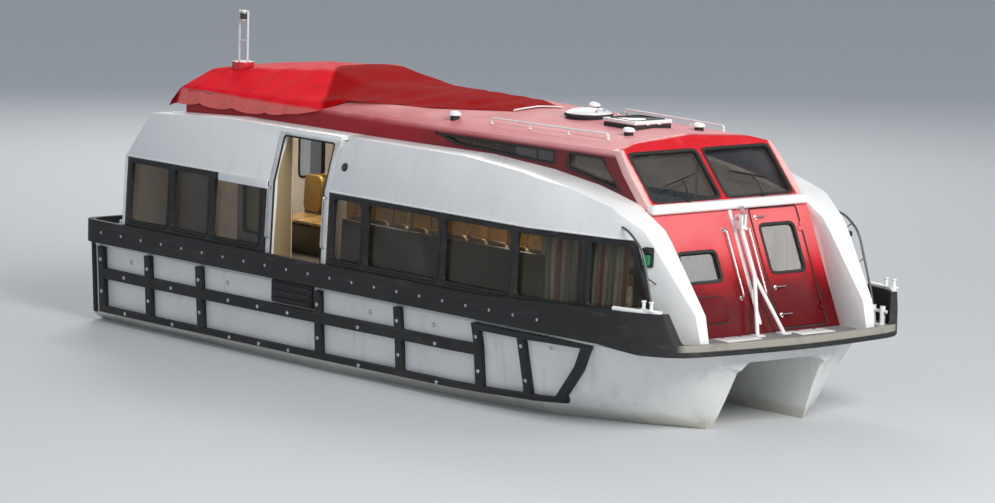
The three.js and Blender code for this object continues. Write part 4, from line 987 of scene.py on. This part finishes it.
def faded_roof():
    """Bleached gelcoat, pink on top and paler towards the bow, with the upright sides painted dark red as
    painted shade, darkest forward.
    """
    finish, place = workbench("faded_roof")
    along, _, height = axes(place)
    bleach = ramp(along + grain(place, 0.9, 4.0) * 2.5, -0.5, 5.5)
    chalk = ramp(grain(place, 1.7, 6.0), 0.35, 0.75)
    scuffs = ramp(grain(place, 4.0, 6.0, (0.5, 1.5, 1.0)), 0.58, 0.8)
    colour = tint(bleach, (0.6, 0.1, 0.108), (0.72, 0.32, 0.335))
    colour = tint(chalk * 0.35, colour, (0.84, 0.46, 0.45))
    colour = tint(scuffs * 0.3, colour, (0.86, 0.66, 0.64))
    # Painted shade: the upright sides under the roof's edge are painted dark red, darker forward, as if in
    # shade.
    sides = tint(ramp(along, -0.6, 1.4), (0.34, 0.012, 0.02), (0.12, 0.003, 0.007))
    colour = tint(ramp(height, 3.52, 3.44) * 0.92, colour, sides)
    return shade(finish, colour, 0.5 + chalk * 0.2, grain(place, 130.0, 2.0), 0.0008,
                 Specular_IOR_Level=0.18)


recast("cabin_roof", 0.012, "roof_moulding", faded_roof(), "faded_red")
roof_skin = skin("cabin_roof")
roof_seals = bmesh.new()
roof_rails = bmesh.new()
for sign in SIDES.values():
    for outline in CLERESTORY:
        plate(roof_seals, grown(outline, 0.012), on_trunk(sign), -0.045, 0.006, 0.045, 0.03, 0.003)
    feet = [above(roof_skin, x, sign * y) for x, y in RAIL_POSTS]
    tube(roof_rails, rounded([feet[0]] + [foot + UP * RAIL_RISE for foot in feet] + [feet[-1]], 0.05), 0.014)
    for foot in feet:
        disc(roof_rails, foot - UP * 0.002, UP, 0.032, 0.007, 16, 0.002)
        tube(roof_rails, [foot, foot + UP * 0.07], 0.01)
fit(roof_seals, "clerestory_seals", seal_finish, "fender_rubber")
fit(roof_rails, "roof_rails", white_finish, "white_gelcoat")


# Roof vents
# White mushroom vents stand on the roof's edge abreast of the canopy's nose and behind the
# windscreen. Each is a spun cap over a short collar, with a dark air gap between them.
VENTS = ((0.62, 1.24), (3.55, 0.62))
COLLAR = [(0.0, -0.02), (0.066, -0.02), (0.062, 0.052), (0.0, 0.052)]
CAP = [(0.0, 0.05), (0.086, 0.05), (0.09, 0.058), (0.086, 0.075), (0.07, 0.095), (0.04, 0.107), (0.0, 0.11)]
vent_caps = bmesh.new()
vent_collars = bmesh.new()
for sign in SIDES.values():
    for x, y in VENTS:
        foot = above(roof_skin, x, sign * y)
        turned(vent_collars, COLLAR, foot)
        turned(vent_caps, CAP, foot)
fit(vent_caps, "vent_caps", white_finish, "white_gelcoat")
fit(vent_collars, "vent_collars", black_plastic, "fender_rubber")


# Roof hatches
# The domed lid and the helm's square lid are white mouldings with deep black rubber skirts round their
# coamings, made deep to give the dark band of shade under the lids. The helm's lid carries a smoked pane,
# and both have a pull on the free side.
DOME_AT = Vector((1.98, 0.0, 3.755))
DOME_SHADE_SKIRT = [(0.296, 3.6), (0.319, 3.6), (0.315, 3.728), (0.296, 3.728), (0.296, 3.6)]
DOME_PULL = (Vector((0.24, -0.07, 0.052)), Vector((0.24, 0.07, 0.052)))
DOME_RIM = [(0.326, -0.02), (0.337, -0.02), (0.335, 0.012), (0.326, 0.016), (0.326, -0.02)]
HELM_LID = rectangle(2.67, 3.33, -0.33, 0.33)
HELM_PANE = rectangle(2.74, 3.26, -0.26, 0.26)
HELM_TOP = 3.79
HELM_PULL = ((2.69, -0.08, HELM_TOP), (2.69, 0.08, HELM_TOP))


def on_roof(x, y, z):
    """Lays (x, y, height) as they are."""
    return Vector((x, y, z))


# Painted shade: the skirts are black rubber, made deep so that they also stand for the shade under the hatch
# lids.
shade_skirts = turned(bmesh.new(), DOME_SHADE_SKIRT, (DOME_AT.x, 0.0, 0.0), steps=48)
plate(shade_skirts, HELM_LID, on_roof, 3.62, 3.738, 0.03, 0.02, 0.003)
fit(shade_skirts, "hatch_shade_skirts", seal_finish, "fender_rubber")
for node in ("dome_hatch", "helm_hatch"):
    recast(node, 0.008, f"{node}_lid", white_finish, "white_gelcoat", node)
dome_ring = turned(bmesh.new(), DOME_RIM, DOME_AT, steps=48)
fit(dome_ring, "dome_hatch_rim", seal_finish, "fender_rubber", "dome_hatch")
dome_pull = grab(bmesh.new(), *(DOME_AT + end for end in DOME_PULL), (0.3, 0, 1), 0.04, 0.009)
fit(dome_pull, "dome_hatch_pull", steel_finish, "steel", "dome_hatch")
helm_pane = plate(bmesh.new(), HELM_PANE, on_roof, HELM_TOP, HELM_TOP + 0.01, 0.05, edge=0.003)
smoked = glass("smoked_pane", (0.012, 0.012, 0.014), 0.15)
fit(helm_pane, "helm_hatch_pane", smoked, "tinted_glass", "helm_hatch")
helm_seal = plate(bmesh.new(), grown(HELM_PANE, 0.025), on_roof, HELM_TOP, HELM_TOP + 0.014, 0.07, 0.028,
                  0.003)
fit(helm_seal, "helm_hatch_seal", seal_finish, "fender_rubber", "helm_hatch")
helm_pull = grab(bmesh.new(), *HELM_PULL, UP, 0.04, 0.009)
fit(helm_pull, "helm_hatch_pull", steel_finish, "steel", "helm_hatch")


# Canopy
# Red coated cloth is stretched over hoops above the after cabin, and sags a little between them.
# Its sides hang over the roof's edge as a faded valance cut in scallops, held by a row of studs.
# Forward it narrows to a low nose, held by a batten across the crown of the roof.
HOOPS = (    # x, the crown's height, then across and up at the top corner, the side and the hem
    (-5.61, 3.415, 1.38, 3.385, 1.53, 3.300, 1.575, 3.215),
    (-5.34, 3.795, 1.00, 3.775, 1.55, 3.540, 1.618, 3.330),
    (-2.90, 3.980, 0.62, 3.955, 1.56, 3.555, 1.628, 3.360),
    (-2.45, 3.860, 0.60, 3.842, 1.54, 3.575, 1.620, 3.400),
    (-2.00, 3.795, 0.52, 3.780, 1.44, 3.630, 1.600, 3.490),
    (-1.70, 3.792, 0.48, 3.776, 1.22, 3.668, 1.290, 3.645),
    (-0.20, 3.788, 0.30, 3.770, 0.97, 3.696, 1.010, 3.680),
    (0.90, 3.744, 0.20, 3.732, 0.40, 3.716, 0.430, 3.706),
)
CANOPY_FROM = HOOPS[0][0]
CANOPY_LONG = HOOPS[-1][0] - CANOPY_FROM
HOOP_PITCH = 0.61
SAG = 0.016
SCALLOP = 0.8                 # length of one scallop of the valance
SCALLOP_DEEP = 0.055
VALANCE_ENDS = (-5.3, -2.75)
CLOTH = 0.003
BUTTON = [(0.0, -0.004), (0.014, -0.004), (0.013, 0.006), (0.006, 0.009), (0.0, 0.009)]
BUTTONS_AT = [-5.2 + k * 0.21 for k in range(14)]


def held(value, low, high):
    """A number kept between two others."""
    return max(low, min(high, value))


def scallop_drop(x):
    """How far the valance hangs below its highest cut."""
    fade = held((VALANCE_ENDS[1] - x) / 0.5, 0.0, 1.0) * held((x - VALANCE_ENDS[0] + 0.3) / 0.3, 0.0, 1.0)
    return SCALLOP_DEEP * abs(math.sin(math.pi * x / SCALLOP)) ** 0.6 * fade


def cloth_point(x, across):
    """A point of the cloth, with across from -1 at the starboard hem to 1 at the port hem."""
    crown, top, top_z, side, side_z, hem, hem_z = along_rows(HOOPS, x)
    rows = ((0.0, 0.0, crown), (0.3, top, top_z), (0.86, side, side_z), (1.0, hem, hem_z - scallop_drop(x)))
    y, z = along_rows(rows, min(abs(across), 1.0))
    return Vector((x, math.copysign(y, across), z))


def canopy_place(u, v):
    """The cloth between its hoops: corners drawn round, a sag in each span, and slack wrinkles."""
    x = CANOPY_FROM + CANOPY_LONG * u
    spread = [(x + dx, held(v + dv, -1.0, 1.0)) for dx in (-0.05, 0.05) for dv in (-0.03, 0.0, 0.03)]
    if u in (0.0, 1.0) or abs(v) > 0.985:
        spread = [(x, v)]
    point = sum((cloth_point(*at) for at in spread), Vector()) / len(spread)
    free = held(min(5.0 * (1.0 - abs(v)), 8.0 * min(u, 1.0 - u)), 0.0, 1.0)
    pull = math.sin(math.pi * ((x - CANOPY_FROM) / HOOP_PITCH % 1.0)) ** 2 * SAG
    slack = noise.noise(Vector((x * 1.4, v * 5.0, 3.0))) * 0.008
    slack += noise.noise(Vector((x * 6.0 + v * 4.0, v * 2.5, 9.0))) * 0.004
    inward = Vector((0.0, -point.y * 0.35, -1.0)).normalized()
    flare = Vector((0.0, math.copysign(0.012, v), 0.0)) * math.sin(2 * math.pi * x / SCALLOP + 1.0)
    hang = max(0.0, (abs(v) - 0.88) / 0.12) if VALANCE_ENDS[0] < x < VALANCE_ENDS[1] else 0.0
    return point + inward * ((pull + slack) * free) + flare * hang * 0.8


def canopy_cloth():
    """Coated red cloth: a fine weave, sewn seams at the hoops and a bleached hem, with painted sunlight on
    the after sides, a painted pink highlight along the crown and painted shade on the after end.
    """
    finish, place = workbench("canopy_cloth")
    along, across, height = axes(place)
    off = abs(across)
    bleach = ramp(grain(place, 1.4, 5.0), 0.4, 0.85)
    weave = place.node("TexWave", {"bands_direction": "X"}, {"Vector": place, "Scale": 95.0}, out=1)
    weft = place.node("TexWave", {"bands_direction": "DIAGONAL"}, {"Vector": place, "Scale": 80.0}, out=1)
    cell = ((along - CANOPY_FROM) / HOOP_PITCH).fraction()
    seam = 1.0 - ramp(abs(cell - 0.02), 0.006, 0.016)
    hem = ramp(height, 3.52, 3.47) * ramp(off, 1.5, 1.54) * ramp(along, -5.4, -5.3)
    grime = ramp(grain(place, 3.0, 6.0, (1.0, 1.0, 0.4)), 0.5, 0.8)
    # Painted sunlight: the after sides are painted bright red as if lit, and the darker red of the rest
    # stands for the same cloth in shade.
    lit = ramp(along - (off - 0.62), -2.86, -2.98) * ramp(along, -5.42, -5.3)
    # Painted highlight: a pink band along the crown of the lit sides, stronger where the cloth is bleached.
    crown = ramp((along + 2.9) * -0.156 + 0.64 - off + grain(place, 2.5, 4.0) * 0.2, 0.04, 0.2)
    colour = tint(bleach * 0.25, (0.37, 0.002, 0.003), (0.44, 0.005, 0.006))
    colour = tint(lit * (1.0 - bleach * 0.2), colour, (0.95, 0.02, 0.034))
    colour = tint(crown * lit * (bleach * 0.4 + 0.25), colour, (0.86, 0.34, 0.33))
    # Painted shade: the after end of the cloth is painted dark maroon.
    colour = tint(ramp(along, -5.34, -5.42) * 0.7, colour, (0.2, 0.004, 0.008))
    colour = tint(seam * 0.5, colour, (0.3, 0.004, 0.008))
    colour = tint(hem * 0.85, colour, (0.76, 0.19, 0.17))
    colour = tint(grime * 0.22, colour, (0.2, 0.012, 0.012))
    relief = (weave + weft) * 0.12 + grain(place, 5.0, 3.0) * 0.9 + seam * 0.4
    return shade(finish, colour, 0.7 + bleach * 0.2, relief, 0.004, Specular_IOR_Level=0.02)


cloth = bmesh.new()
for corner in bmesh.ops.create_grid(cloth, x_segments=168, y_segments=60, size=1.0)["verts"]:
    corner.co = canopy_place((corner.co.x + 1.0) / 2.0, corner.co.y)
bmesh.ops.recalc_face_normals(cloth, faces=cloth.faces)
if sum(face.normal.z for face in cloth.faces) < 0.0:
    bmesh.ops.reverse_faces(cloth, faces=cloth.faces)
cloth_area = sum(face.calc_area() for face in cloth.faces)
canopy = fit(cloth, "canopy_cloth", canopy_cloth(), "red_gelcoat", smooth=60.0)
thick = canopy.modifiers.new("cloth", "SOLIDIFY")
thick.thickness = CLOTH
thick.offset = -1.0
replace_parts(canopy, "canopy")
cloth_area / CANOPY_LONG
canopy_buttons = bmesh.new()
for v in (-1, 1):
    for x in BUTTONS_AT:
        at = canopy_place((x - CANOPY_FROM) / CANOPY_LONG, v * 0.95)
        turned(canopy_buttons, BUTTON, at, (0, v, 0.25), 12)
fit(canopy_buttons, "canopy_buttons", zinc_finish, "steel")
nose = [canopy_place(1.0, v / 10.0) + Vector((-0.012, 0.0, 0.006)) for v in range(-10, 11)]
fit(tube(bmesh.new(), nose, 0.012, 8), "canopy_batten", white_finish, "white_gelcoat")


# Mast
# A short steel mast of two legs and rungs is bolted through the canopy's frame, with a dark
# all-round lamp between the legs. Its foot has the canopy's red, the rest is white.
MAST_AT = Vector((-4.8, -0.85, 3.9))
MAST_LAMP = [(0.0, 0.615), (0.05, 0.615), (0.056, 0.63), (0.056, 0.69), (0.05, 0.705), (0.0, 0.705)]


def mast_coat():
    """White paint, red on the foot, with rust showing through where it is worn."""
    finish, place = workbench("mast_paint")
    colour = tint(ramp(axes(place)[2], 3.905, 3.895), (0.7, 0.71, 0.71), (0.55, 0.012, 0.018))
    colour = tint(ramp(grain(place, 7.0, 5.0), 0.5, 0.8) * 0.3, colour, (0.4, 0.33, 0.28))
    return shade(finish, colour, grain(place, 20.0) * 0.15 + 0.35, grain(place, 90.0), 0.0008)


recast("mast", 0.004, "signal_mast", mast_coat(), "white_paint")
mast_glass = glass("mast_lamp_glass", (0.02, 0.02, 0.024), 0.1)
fit(turned(bmesh.new(), MAST_LAMP, MAST_AT), "mast_lamp", mast_glass, "tinted_glass")
mast_bolts = bmesh.new()
bolt_ring(mast_bolts, MAST_AT - UP * 0.001, UP, 0.135, 0.012, 0.01)
fit(mast_bolts, "mast_bolts", steel_finish, "steel")


# Running gear
# Bronze propellers turn on steel shafts in struts, and steel rudders hang behind them on their
# stocks. A zinc collar is clamped on each shaft.
COLLAR_AT = (-5.3, 1.24, -0.73)
COLLAR_ZINC = [(0.036, 0.0), (0.056, 0.008), (0.056, 0.06), (0.036, 0.068), (0.036, 0.0)]
bronze_finish = steel_polish("propeller_bronze", (0.5, 0.33, 0.13), 0.25)
for side, sign in SIDES.items():
    for stem, finish, slot, body in (("propeller", bronze_finish, "bronze", f"propeller_{side}"),
                                     ("rudder", steel_finish, "steel", f"rudder_{side}"),
                                     ("shaft", steel_finish, "steel", "boat")):
        recast(f"{stem}_{side}", 0.003, f"{stem}_metal_{side}", finish, slot, body, 45.0)
    x, y, z = COLLAR_AT
    collar = turned(bmesh.new(), COLLAR_ZINC, (x, sign * y, z), (1, 0, 0))
    fit(collar, f"shaft_zinc_{side}", zinc_finish, "steel")


# Engines
# A diesel stands low in each hull on rubber feet, under the cabin sole, in one coat of grey.
# The hull and the deck shut it in, so it is one plain block here.
engine_finish = gelcoat("engine_paint", (0.12, 0.14, 0.15), 0.2)
for side in SIDES:
    recast(f"engine_{side}", 0.03, f"engine_block_{side}", engine_finish, "engine_paint", steps=3)


# Bitts and fairleads
# White painted steel bitts are bolted to the deck at the four corners, for the mooring lines.
# On the bow bulwark a white capping carries a fairlead each side, two horns on a long foot.
BULWARK = 1.66
CAPPING = (5.25, 5.4, 5.55, 5.7, 5.85, 5.96)
CAP_IN = 0.045                # how far inside the belt's face the capping lies
FAIRLEAD_X = 5.78
HORN = [(0.0, 0.0), (0.032, 0.0), (0.024, 0.03), (0.022, 0.08), (0.034, 0.1), (0.032, 0.112), (0.0, 0.118)]
for end in ("bow", "stern"):
    for side in SIDES:
        recast(f"{end}_bitt_{side}", 0.006, f"{end}_bitt_paint_{side}", white_finish, "white_paint",
               smooth=45.0)
fairleads = bmesh.new()
for side, sign in SIDES.items():
    belt = skin(f"gunwale_belt_{side}")
    faces = [abeam(belt, sign, x, 1.6)[0] for x in CAPPING]
    tube(fairleads, [(p.x, p.y - sign * CAP_IN, BULWARK + 0.004) for p in faces], 0.034, 12)
    y = abeam(belt, sign, FAIRLEAD_X, 1.6)[0].y - sign * CAP_IN
    slab(fairleads, (FAIRLEAD_X - 0.13, y - 0.04, BULWARK + 0.02),
         (FAIRLEAD_X + 0.13, y + 0.04, BULWARK + 0.045), 0.01)
    for step in (-0.075, 0.075):
        turned(fairleads, HORN, (FAIRLEAD_X + step, y, BULWARK + 0.04))
fit(fairleads, "bow_fairleads", white_finish, "white_paint")


# Lifting gear
# White A-frame posts on the centreline take the boat's whole weight when it is hoisted.
# Each ends in a clevis with a steel release hook on its pin, the pin held by a nut at each end.
LIFT_PINS = {"forward": Vector((5.14, 0.0, 2.68)), "aft": Vector((-5.95, 0.0, 2.68))}
pin_nuts = bmesh.new()
for end, pin in LIFT_PINS.items():
    recast(f"lifting_post_{end}", 0.004, f"lifting_post_paint_{end}", white_finish, "white_paint",
           smooth=45.0)
    recast(f"lifting_hook_{end}", 0.006, f"release_hook_{end}", steel_finish, "steel",
           f"lifting_hook_{end}", 45.0)
    for out in (1, -1):
        disc(pin_nuts, pin + Vector((0.0, out * 0.044, 0.0)), (0, out, 0), 0.03, 0.012, 6, 0.002)
fit(pin_nuts, "lifting_pin_nuts", steel_finish, "steel")


# Benches
# Moulded benches run along the windows and back to back down the middle of the cabin.
# Every place has its own dished pan and a padded-looking hard back, bolted on, in tan and ochre.
PITCH = 0.43
SEAT_HALF = PITCH * 0.46
PAN_Z, PAN_TILT, PAN_DISH = 1.698, 0.02, 0.024
BACK_LOW = 1.75
BACK_FOOT, BACK_RISE = 1.66, 0.5    # where a bench's back starts, and the rise over which it leans
SEAT_ROWS = (dict(start=-0.68, places=10, front=1.36, rear=1.9, foot=1.96, top=2.02, way=-1, head=2.2),
             dict(start=-4.28, places=13, front=0.61, rear=0.13, foot=0.09, top=0.062, way=1, head=2.28))


def seat_pan(x, front, rear):
    """One dished seat shell, with the y of its front and rear edges."""
    pan = bmesh.new()
    bmesh.ops.create_grid(pan, x_segments=6, y_segments=6, size=1.0)
    for corner in pan.verts:
        u, v = corner.co.x, corner.co.y
        lift = PAN_Z + PAN_TILT * v - PAN_DISH * (1.0 - u * u) * (1.0 - v * v)
        corner.co = Vector((x + u * SEAT_HALF, ((front + rear) + v * (rear - front)) / 2, lift))
    bmesh.ops.recalc_face_normals(pan, faces=pan.faces)
    bmesh.ops.solidify(pan, geom=pan.faces[:], thickness=0.035)
    return pan


def seat_row(sign, start, places, front, rear, foot, top, way, head):
    """A row of pans and backs. A back's face is at y foot below and top above, and faces way."""
    def on_back(x, z, proud):
        lean = foot + (top - foot) * (z - BACK_FOOT) / BACK_RISE
        return Vector((x, sign * (lean + way * proud), z))

    for k in range(places):
        x = start + PITCH * (k + 0.5)
        pour(seat_pan(x, sign * front, sign * rear), pans)
        plate(backs, rectangle(x - SEAT_HALF, x + SEAT_HALF, BACK_LOW, head), on_back, -0.004, 0.05,
              0.09, edge=0.015, steps=4)


bench_finish = gelcoat("bench_olive", (0.1, 0.08, 0.04), 0.3)
for node in ("bench_port", "bench_starboard", "centre_bench"):
    recast(node, 0.02, f"{node}_moulding", bench_finish, "seat_beige")
pans = bmesh.new()
backs = bmesh.new()
for sign in SIDES.values():
    for row in SEAT_ROWS:
        seat_row(sign, **row)
fit(pans, "seat_pans", seat_finish, "seat_beige")
fit(backs, "seat_backs", gelcoat("seat_ochre", (0.52, 0.36, 0.1), 0.15), "seat_beige")


# Cabin poles and lamps
# Steel poles stand from the sole to the roof between the benches, and flat lamps light the cabin.
# Each lamp is an opal cover in a white ring.
POLES_AT = (-3.9, -2.55, -0.9, 0.5, 1.9, 3.3)
POLE_Y = 0.82
LAMPS_AT = (-4.4, -3.1, -1.6, 0.0, 1.2, 3.6)
LAMP_Y = 0.5
LAMP_COVER = [(0.0, 0.03), (0.05, 0.027), (0.08, 0.012), (0.085, 0.0), (0.0, 0.0)]
LAMP_RIM = [(0.08, -0.004), (0.105, -0.004), (0.1, 0.012), (0.08, 0.014), (0.08, -0.004)]


def ceiling(x, y):
    """The underside of the roof over a place in the cabin."""
    return meet(roof_skin, (x, y, 2.6), UP)[0]


def opal_cover():
    """Milky plastic, lit from inside."""
    finish, place = workbench("lamp_opal")
    colour = tint(grain(place, 30.0), (0.8, 0.78, 0.7), (0.9, 0.88, 0.8))
    return shade(finish, colour, grain(place, 60.0) * 0.1 + 0.3, Emission_Color=(1.0, 0.88, 0.66, 1.0),
                 Emission_Strength=2.5)


poles = bmesh.new()
covers = bmesh.new()
lamp_rims = bmesh.new()
for sign in SIDES.values():
    for x in POLES_AT:
        foot, head = Vector((x, sign * POLE_Y, DECK)), ceiling(x, sign * POLE_Y)
        tube(poles, [foot, head + UP * 0.004], 0.017, 12)
        disc(poles, foot, UP, 0.04, 0.008, 20, 0.003)
        disc(poles, head, -UP, 0.04, 0.008, 20, 0.003)
    for x in LAMPS_AT:
        head = ceiling(x, sign * LAMP_Y)
        turned(covers, LAMP_COVER, head, -UP)
        turned(lamp_rims, LAMP_RIM, head, -UP)
fit(poles, "cabin_poles", steel_finish, "steel")
fit(lamp_rims, "cabin_lamp_rims", white_finish, "white_gelcoat")
fit(covers, "cabin_lamp_covers", opal_cover(), "white_gelcoat")


# Helm
# The console stands under the windscreen in dark laminate, with a wheel, two throttle levers, round
# gauges and a screen on its slope. The helm's chair is on a steel pedestal behind it.
SLOPE_FOOT, SLOPE_HEAD = Vector((3.85, 0.0, 2.35)), Vector((4.3, 0.0, 2.62))
GAUGE = [(0.0, -0.002), (0.05, -0.002), (0.052, 0.01), (0.044, 0.014), (0.043, 0.006), (0.0, 0.006)]
GAUGES_AT = [-0.44 + 0.13 * k for k in range(5)]
SCREEN_CASE = rectangle(0.2, 0.56, 0.12, 0.4)
WHEEL = Vector((3.68, -0.18, 2.32))
WHEEL_OUT = Vector((-1.0, 0.0, 0.35)).normalized()
RIM = [(0.188 + 0.016 * math.cos(k * math.pi / 4), 0.016 * math.sin(k * math.pi / 4)) for k in range(9)]
HUB = [(0.0, 0.0), (0.045, 0.0), (0.04, 0.02), (0.0, 0.026)]
THROTTLES = (0.06, 0.12)
KNOB = [(0.0, -0.02), (0.016, -0.012), (0.019, 0.005), (0.01, 0.022), (0.0, 0.024)]
CHAIR = Vector((3.05, 0.0, DECK))
PEDESTAL = [(0.0, 0.0), (0.2, 0.0), (0.19, 0.015), (0.05, 0.03), (0.04, 0.5), (0.0, 0.5)]
CHAIR_PADS = ((Vector((-0.24, -0.25, 0.5)), Vector((0.24, 0.25, 0.62))),
              (Vector((-0.28, -0.23, 0.66)), Vector((-0.18, 0.23, 1.25))))
CHAIR_BAR = (Vector((-0.2, 0.0, 0.5)), Vector((-0.27, 0.0, 0.52)), Vector((-0.27, 0.0, 0.8)))
recast("helm_console", 0.03, "helm_console_moulding", band_finish, "window_band", steps=3)
on_slope, SLOPE_OUT = raked(SLOPE_FOOT, SLOPE_HEAD, -1)
helm_steel = bmesh.new()
helm_black = bmesh.new()
helm_glass = bmesh.new()
for y in GAUGES_AT:
    turned(helm_black, GAUGE, on_slope(y, 0.4, 0.0), SLOPE_OUT)
    disc(helm_glass, on_slope(y, 0.4, 0.004), SLOPE_OUT, 0.043, 0.004, 24)
plate(helm_black, SCREEN_CASE, on_slope, -0.004, 0.03, 0.02, edge=0.006)
plate(helm_glass, grown(SCREEN_CASE, -0.02), on_slope, 0.028, 0.032, 0.01)
wheel = WHEEL + WHEEL_OUT * 0.1
turned(helm_black, RIM, wheel, WHEEL_OUT, 40)
tube(helm_steel, [WHEEL - WHEEL_OUT * 0.04, wheel], 0.022, 16)
turned(helm_black, HUB, WHEEL + WHEEL_OUT * 0.095, WHEEL_OUT)
for k in range(3):
    spoke = Quaternion(WHEEL_OUT, math.pi * 2 / 3 * k) @ UP.cross(WHEEL_OUT).normalized()
    tube(helm_steel, [wheel, wheel + spoke * 0.185], 0.009, 8)
for y in THROTTLES:
    tube(helm_steel, [on_slope(y, 0.14, 0.0), on_slope(y, 0.17, 0.12)], 0.007, 8)
    turned(helm_black, KNOB, on_slope(y, 0.173, 0.13), SLOPE_OUT, 16)
turned(helm_steel, PEDESTAL, CHAIR)
for low, high in CHAIR_PADS:
    slab(helm_black, CHAIR + low, CHAIR + high, 0.045, 4)
tube(helm_steel, rounded([CHAIR + bend for bend in CHAIR_BAR], 0.05), 0.02)
fit(helm_steel, "helm_metal", steel_finish, "steel")
fit(helm_black, "helm_plastics", black_plastic, "fender_rubber")
fit(helm_glass, "helm_dials", glass("dial_glass", (0.02, 0.03, 0.03), 0.05), "tinted_glass")


# Curtains
# Striped cotton curtains are gathered on a rail behind the bow windows, to keep the sun out.
# They hang in soft pleats, and are cut a quarter wider than they hang.
CURTAIN_FROM, CURTAIN_TO = 3.5, 4.96
CURTAIN_FOOT, CURTAIN_HEAD = 1.52, 2.47
CURTAIN_IN = 0.125            # how far inside the wall's face the curtain hangs
CURTAIN_DROP = CURTAIN_HEAD - CURTAIN_FOOT
PLEAT, PLEAT_DEEP = 0.088, 0.017
COTTON = 0.0012
RAIL_AT = (3.46, 4.0, 4.5, 4.8, 4.98)


def curtain_cloth():
    """Cotton in dull stripes of sage, cream and rust, with a fine plain weave."""
    finish, place = workbench("curtain_cloth")
    stripe = (axes(place)[0] / 0.36).fraction()
    weave = place.node("TexWave", {"bands_direction": "Z"}, {"Vector": place, "Scale": 210.0}, out=1)
    colour = tint(stripe > 0.3, (0.44, 0.52, 0.32), (0.86, 0.8, 0.62))
    colour = tint(stripe > 0.55, colour, (0.62, 0.2, 0.12))
    colour = tint(stripe > 0.75, colour, (0.78, 0.72, 0.52))
    colour = tint(ramp(grain(place, 4.0, 5.0), 0.45, 0.8) * 0.3, colour, (0.4, 0.35, 0.26))
    return shade(finish, colour, 0.8 + weave * 0.1, weave + grain(place, 12.0) * 2.0, 0.001)


curtain_finish = curtain_cloth()
curtain_rails = bmesh.new()
for side, sign in SIDES.items():
    drape = bmesh.new()
    bmesh.ops.create_grid(drape, x_segments=150, y_segments=10, size=1.0)
    for corner in drape.verts:
        x = CURTAIN_FROM + (CURTAIN_TO - CURTAIN_FROM) * (corner.co.x + 1.0) / 2.0
        z = CURTAIN_FOOT + CURTAIN_DROP * (corner.co.y + 1.0) / 2.0
        drift = noise.noise(Vector((x * 2.0, z * 1.5, 4.0 * sign))) * 0.035 * (CURTAIN_HEAD - z)
        pleat = math.sin(2 * math.pi * (x + drift) / PLEAT) * PLEAT_DEEP * (0.7 + 0.4 * (CURTAIN_HEAD - z))
        corner.co = on_side(sign)(x, z, pleat - CURTAIN_IN)
    bmesh.ops.recalc_face_normals(drape, faces=drape.faces)
    hung = sum(face.calc_area() for face in drape.faces)
    curtain = fit(drape, f"curtain_{side}", curtain_finish, "seat_beige", smooth=80.0)
    curtain.modifiers.new("cloth", "SOLIDIFY").thickness = COTTON
    hung / CURTAIN_DROP
    rail = [on_side(sign)(x, CURTAIN_HEAD, -CURTAIN_IN) + UP * 0.004 for x in RAIL_AT]
    tube(curtain_rails, rail, 0.008, 10)
    for point in (rail[0], rail[2], rail[-1]):
        tube(curtain_rails, [point, point + Vector((0.0, sign * 0.06, 0.0))], 0.006, 8)
fit(curtain_rails, "curtain_rails", steel_finish, "steel")


# Studio
# A plain pale floor lies at the waterline. One broad soft lamp stands off the starboard bow, weaker
# ones off the port bow, the starboard side and the stern, and three small ones in the cabin.
# The pale surround fills in the shade.
AIM = Vector((0.077, 0.0, 1.64))
EYE = Vector((57.57, -46.76, 11.6))
LENS = 194.3
FLOOR_HALF = 400.0
HEEL = math.radians(1.25)     # how far the camera is turned about its own line of sight
LAMPS = (("bow_lamp", (36.0, -6.0, 25.0), 14.0, 13000.0, (1.0, 0.97, 0.92)),
         ("port_bow_lamp", (24.0, 20.0, 18.0), 8.0, 1350.0, (1.0, 0.98, 0.95)),
         ("side_lamp", (4.0, -34.0, 18.0), 16.0, 700.0, (0.9, 0.95, 1.0)),
         ("stern_lamp", (-24.0, 16.0, 16.0), 12.0, 2500.0, (1.0, 0.96, 0.9)))
CABIN_LIGHTS = ((-3.4, 28.0), (0.6, 60.0), (3.5, 100.0))    # x and power
CABIN_LIGHT_Z = 3.45


def place_in_scene(name, data, place):
    """An object at a place in the scene."""
    made = bpy.data.objects.new(name, data)
    made.location = place
    bpy.context.scene.collection.objects.link(made)
    return made


def lamp(name, place, size, power, colour):
    """A square soft lamp that faces straight down."""
    data = bpy.data.lights.new(name, "AREA")
    data.size = size
    data.energy = power
    data.color = colour
    return place_in_scene(name, data, place)


floor_paint, _ = workbench("floor_paint")
shade(floor_paint, (0.6, 0.62, 0.64, 1.0), 0.7)
ground = bmesh.new()
bmesh.ops.create_grid(ground, x_segments=1, y_segments=1, size=FLOOR_HALF)
floor_data = bpy.data.meshes.new("floor")
ground.to_mesh(floor_data)
ground.free()
floor_data.materials.append(floor_paint)
place_in_scene("floor", floor_data, (0.0, 0.0, 0.0))
for name, place, size, power, colour in LAMPS:
    soft = lamp(name, place, size, power, colour)
    soft.rotation_euler = (AIM - soft.location).to_track_quat("-Z", "Y").to_euler()
for x, power in CABIN_LIGHTS:
    lamp(f"cabin_light_{x}", (x, 0.0, CABIN_LIGHT_Z), 0.9, power, (1.0, 0.86, 0.62))

world = bpy.data.worlds.new("surround")
world.use_nodes = True
world.node_tree.nodes["Background"].inputs["Color"].default_value = (0.8, 0.86, 0.95, 1.0)
world.node_tree.nodes["Background"].inputs["Strength"].default_value = 0.46
bpy.context.scene.world = world

camera_data = bpy.data.cameras.new("camera")
camera_data.lens = LENS
camera_data.clip_end = 1000.0
camera = place_in_scene("camera", camera_data, EYE)
camera.rotation_euler = ((AIM - EYE).to_track_quat("-Z", "Y") @ Quaternion(UP, HEEL)).to_euler()
bpy.context.scene.camera = camera
bpy.context.scene.view_settings.view_transform = "Standard"
